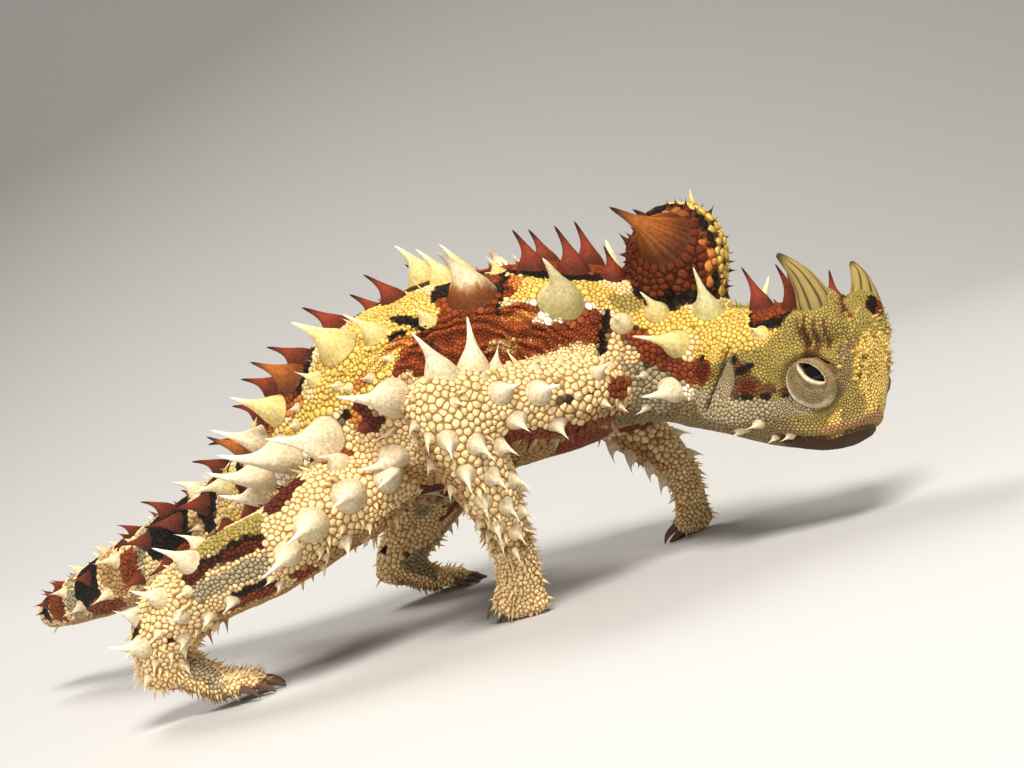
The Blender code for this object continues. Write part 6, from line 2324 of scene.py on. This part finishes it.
class DEVIL_OT_skin(bpy.types.Operator):
    """Builds the one skin and settles the thorns' roots on it."""

    bl_idname = "devil.skin"
    bl_label = "Skin"

    def execute(self, context):
        sizes = context.scene.devil_sizes
        coat = context.scene.devil_coat
        item = make_skin(sizes)
        spots, _, _ = read_mesh(item)
        owner = np.rint(read_value(item, "part")).astype(int)
        share = read_value(item, "share").astype(float)
        angle = read_value(item, "angle").astype(float)
        hue = paint(spots, owner, share, angle, colours_of(coat))
        keep_value(item, "hue", np.clip(hue * CRACK_TINT, 0, 0.95))
        dress(item, coat_look("skin", 2500.0, 0.00006, 0.7, 0.08))
        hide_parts(*FLESH_NODES)
        tree = surface_tree(item)
        large = large_thorns()
        thorns = large + strewn_thorns(large, THORN_SEED + 1)
        for thorn in thorns:
            thorn.settle(tree)
        WORK["thorns"] = thorns
        WORK["tree"] = tree
        return {"FINISHED"}


class DEVIL_OT_scales(bpy.types.Operator):
    """Covers the skin with scales."""

    bl_idname = "devil.scales"
    bl_label = "Scales"

    def execute(self, context):
        look = coat_look("scales", 3200.0, 0.00004, 0.62, 0.10)
        for item in make_scales(context.scene.devil_sizes, context.scene.devil_coat):
            dress(item, look)
        return {"FINISHED"}


class DEVIL_OT_thorns(bpy.types.Operator):
    """Sets the thorns on the skin."""

    bl_idname = "devil.thorns"
    bl_label = "Thorns"

    def execute(self, context):
        look = coat_look("thorns", 2600.0, 0.00004, 0.55, 0.12)
        for item in make_thorns(context.scene.devil_coat):
            dress(item, look)
        return {"FINISHED"}


class DEVIL_OT_eyes(bpy.types.Operator):
    """Builds the eyeballs."""

    bl_idname = "devil.eyes"
    bl_label = "Eyes"

    def execute(self, context):
        look = eye_look(tuple(context.scene.devil_coat.eye))
        for item in make_eyes(context.scene.devil_sizes):
            dress(item, look)
        return {"FINISHED"}


class DEVIL_OT_lids(bpy.types.Operator):
    """Builds the lids and their small scales."""

    bl_idname = "devil.lids"
    bl_label = "Lids"

    def execute(self, context):
        look = coat_look("lids", 3200.0, 0.00003, 0.6, 0.10)
        for item in make_lids(WORK["tree"], colours_of(context.scene.devil_coat)):
            dress(item, look)
        return {"FINISHED"}


class DEVIL_OT_horns(bpy.types.Operator):
    """Builds the horns over the eyes."""

    bl_idname = "devil.horns"
    bl_label = "Horns"

    def execute(self, context):
        look = horn_look()
        for item in make_horns(tuple(context.scene.devil_coat.horn)):
            dress(item, look)
        return {"FINISHED"}


class DEVIL_OT_claws(bpy.types.Operator):
    """Builds the claws."""

    bl_idname = "devil.claws"
    bl_label = "Claws"

    def execute(self, context):
        look = claw_look(tuple(context.scene.devil_coat.claw))
        for item in make_claws(context.scene.devil_sizes):
            dress(item, look)
        return {"FINISHED"}


class DEVIL_OT_stage(bpy.types.Operator):
    """Places the floor, the lights and the camera."""

    bl_idname = "devil.stage"
    bl_label = "Stage"

    def execute(self, context):
        stage = context.scene.devil_stage
        make_floor(tuple(stage.floor))
        make_light("key", 0.06, 0.46, 0.34, 0.22, stage.power, (1.0, 0.965, 0.91))
        make_light("fill", -0.30, 0.12, 0.44, 0.5, stage.power * 0.34, (0.97, 0.98, 1.0))
        make_light("spark", 0.10, 0.34, 0.40, 0.03, stage.power * 0.07, (1.0, 1.0, 1.0))
        make_light("rim", -0.18, 0.42, -0.34, 0.3, stage.power * 0.60, (1.0, 0.98, 0.95))
        make_world(stage.glow)
        place_camera()
        context.scene.view_settings.view_transform = "Standard"
        return {"FINISHED"}


OPERATORS = (DEVIL_OT_skin, DEVIL_OT_scales, DEVIL_OT_thorns, DEVIL_OT_eyes, DEVIL_OT_lids,
             DEVIL_OT_horns, DEVIL_OT_claws, DEVIL_OT_stage)


class DEVIL_PT_panel(bpy.types.Panel):
    """Lists the sizes, colours and pieces."""

    bl_idname = "DEVIL_PT_panel"
    bl_label = "Thorny Devil"
    bl_space_type = "VIEW_3D"
    bl_region_type = "UI"
    bl_category = "Thorny Devil"

    def draw(self, context):
        for group in (context.scene.devil_sizes, context.scene.devil_coat,
                      context.scene.devil_stage):
            box = self.layout.box()
            for name in group.__annotations__:
                box.prop(group, name)
        for operator in OPERATORS:
            self.layout.operator(operator.bl_idname)


CLASSES = (DevilSizes, DevilCoat, DevilStage, *OPERATORS, DEVIL_PT_panel)


def register():
    for kind in CLASSES:
        bpy.utils.register_class(kind)
    bpy.types.Scene.devil_sizes = bpy.props.PointerProperty(type=DevilSizes)
    bpy.types.Scene.devil_coat = bpy.props.PointerProperty(type=DevilCoat)
    bpy.types.Scene.devil_stage = bpy.props.PointerProperty(type=DevilStage)


def unregister():
    del bpy.types.Scene.devil_stage
    del bpy.types.Scene.devil_coat
    del bpy.types.Scene.devil_sizes
    for kind in reversed(CLASSES):
        bpy.utils.unregister_class(kind)


def main():
    register()
    for operator in OPERATORS:
        family, name = operator.bl_idname.split(".")
        getattr(getattr(bpy.ops, family), name)()
    bpy.context.view_layer.update()


if __name__ == "__main__":
    main()
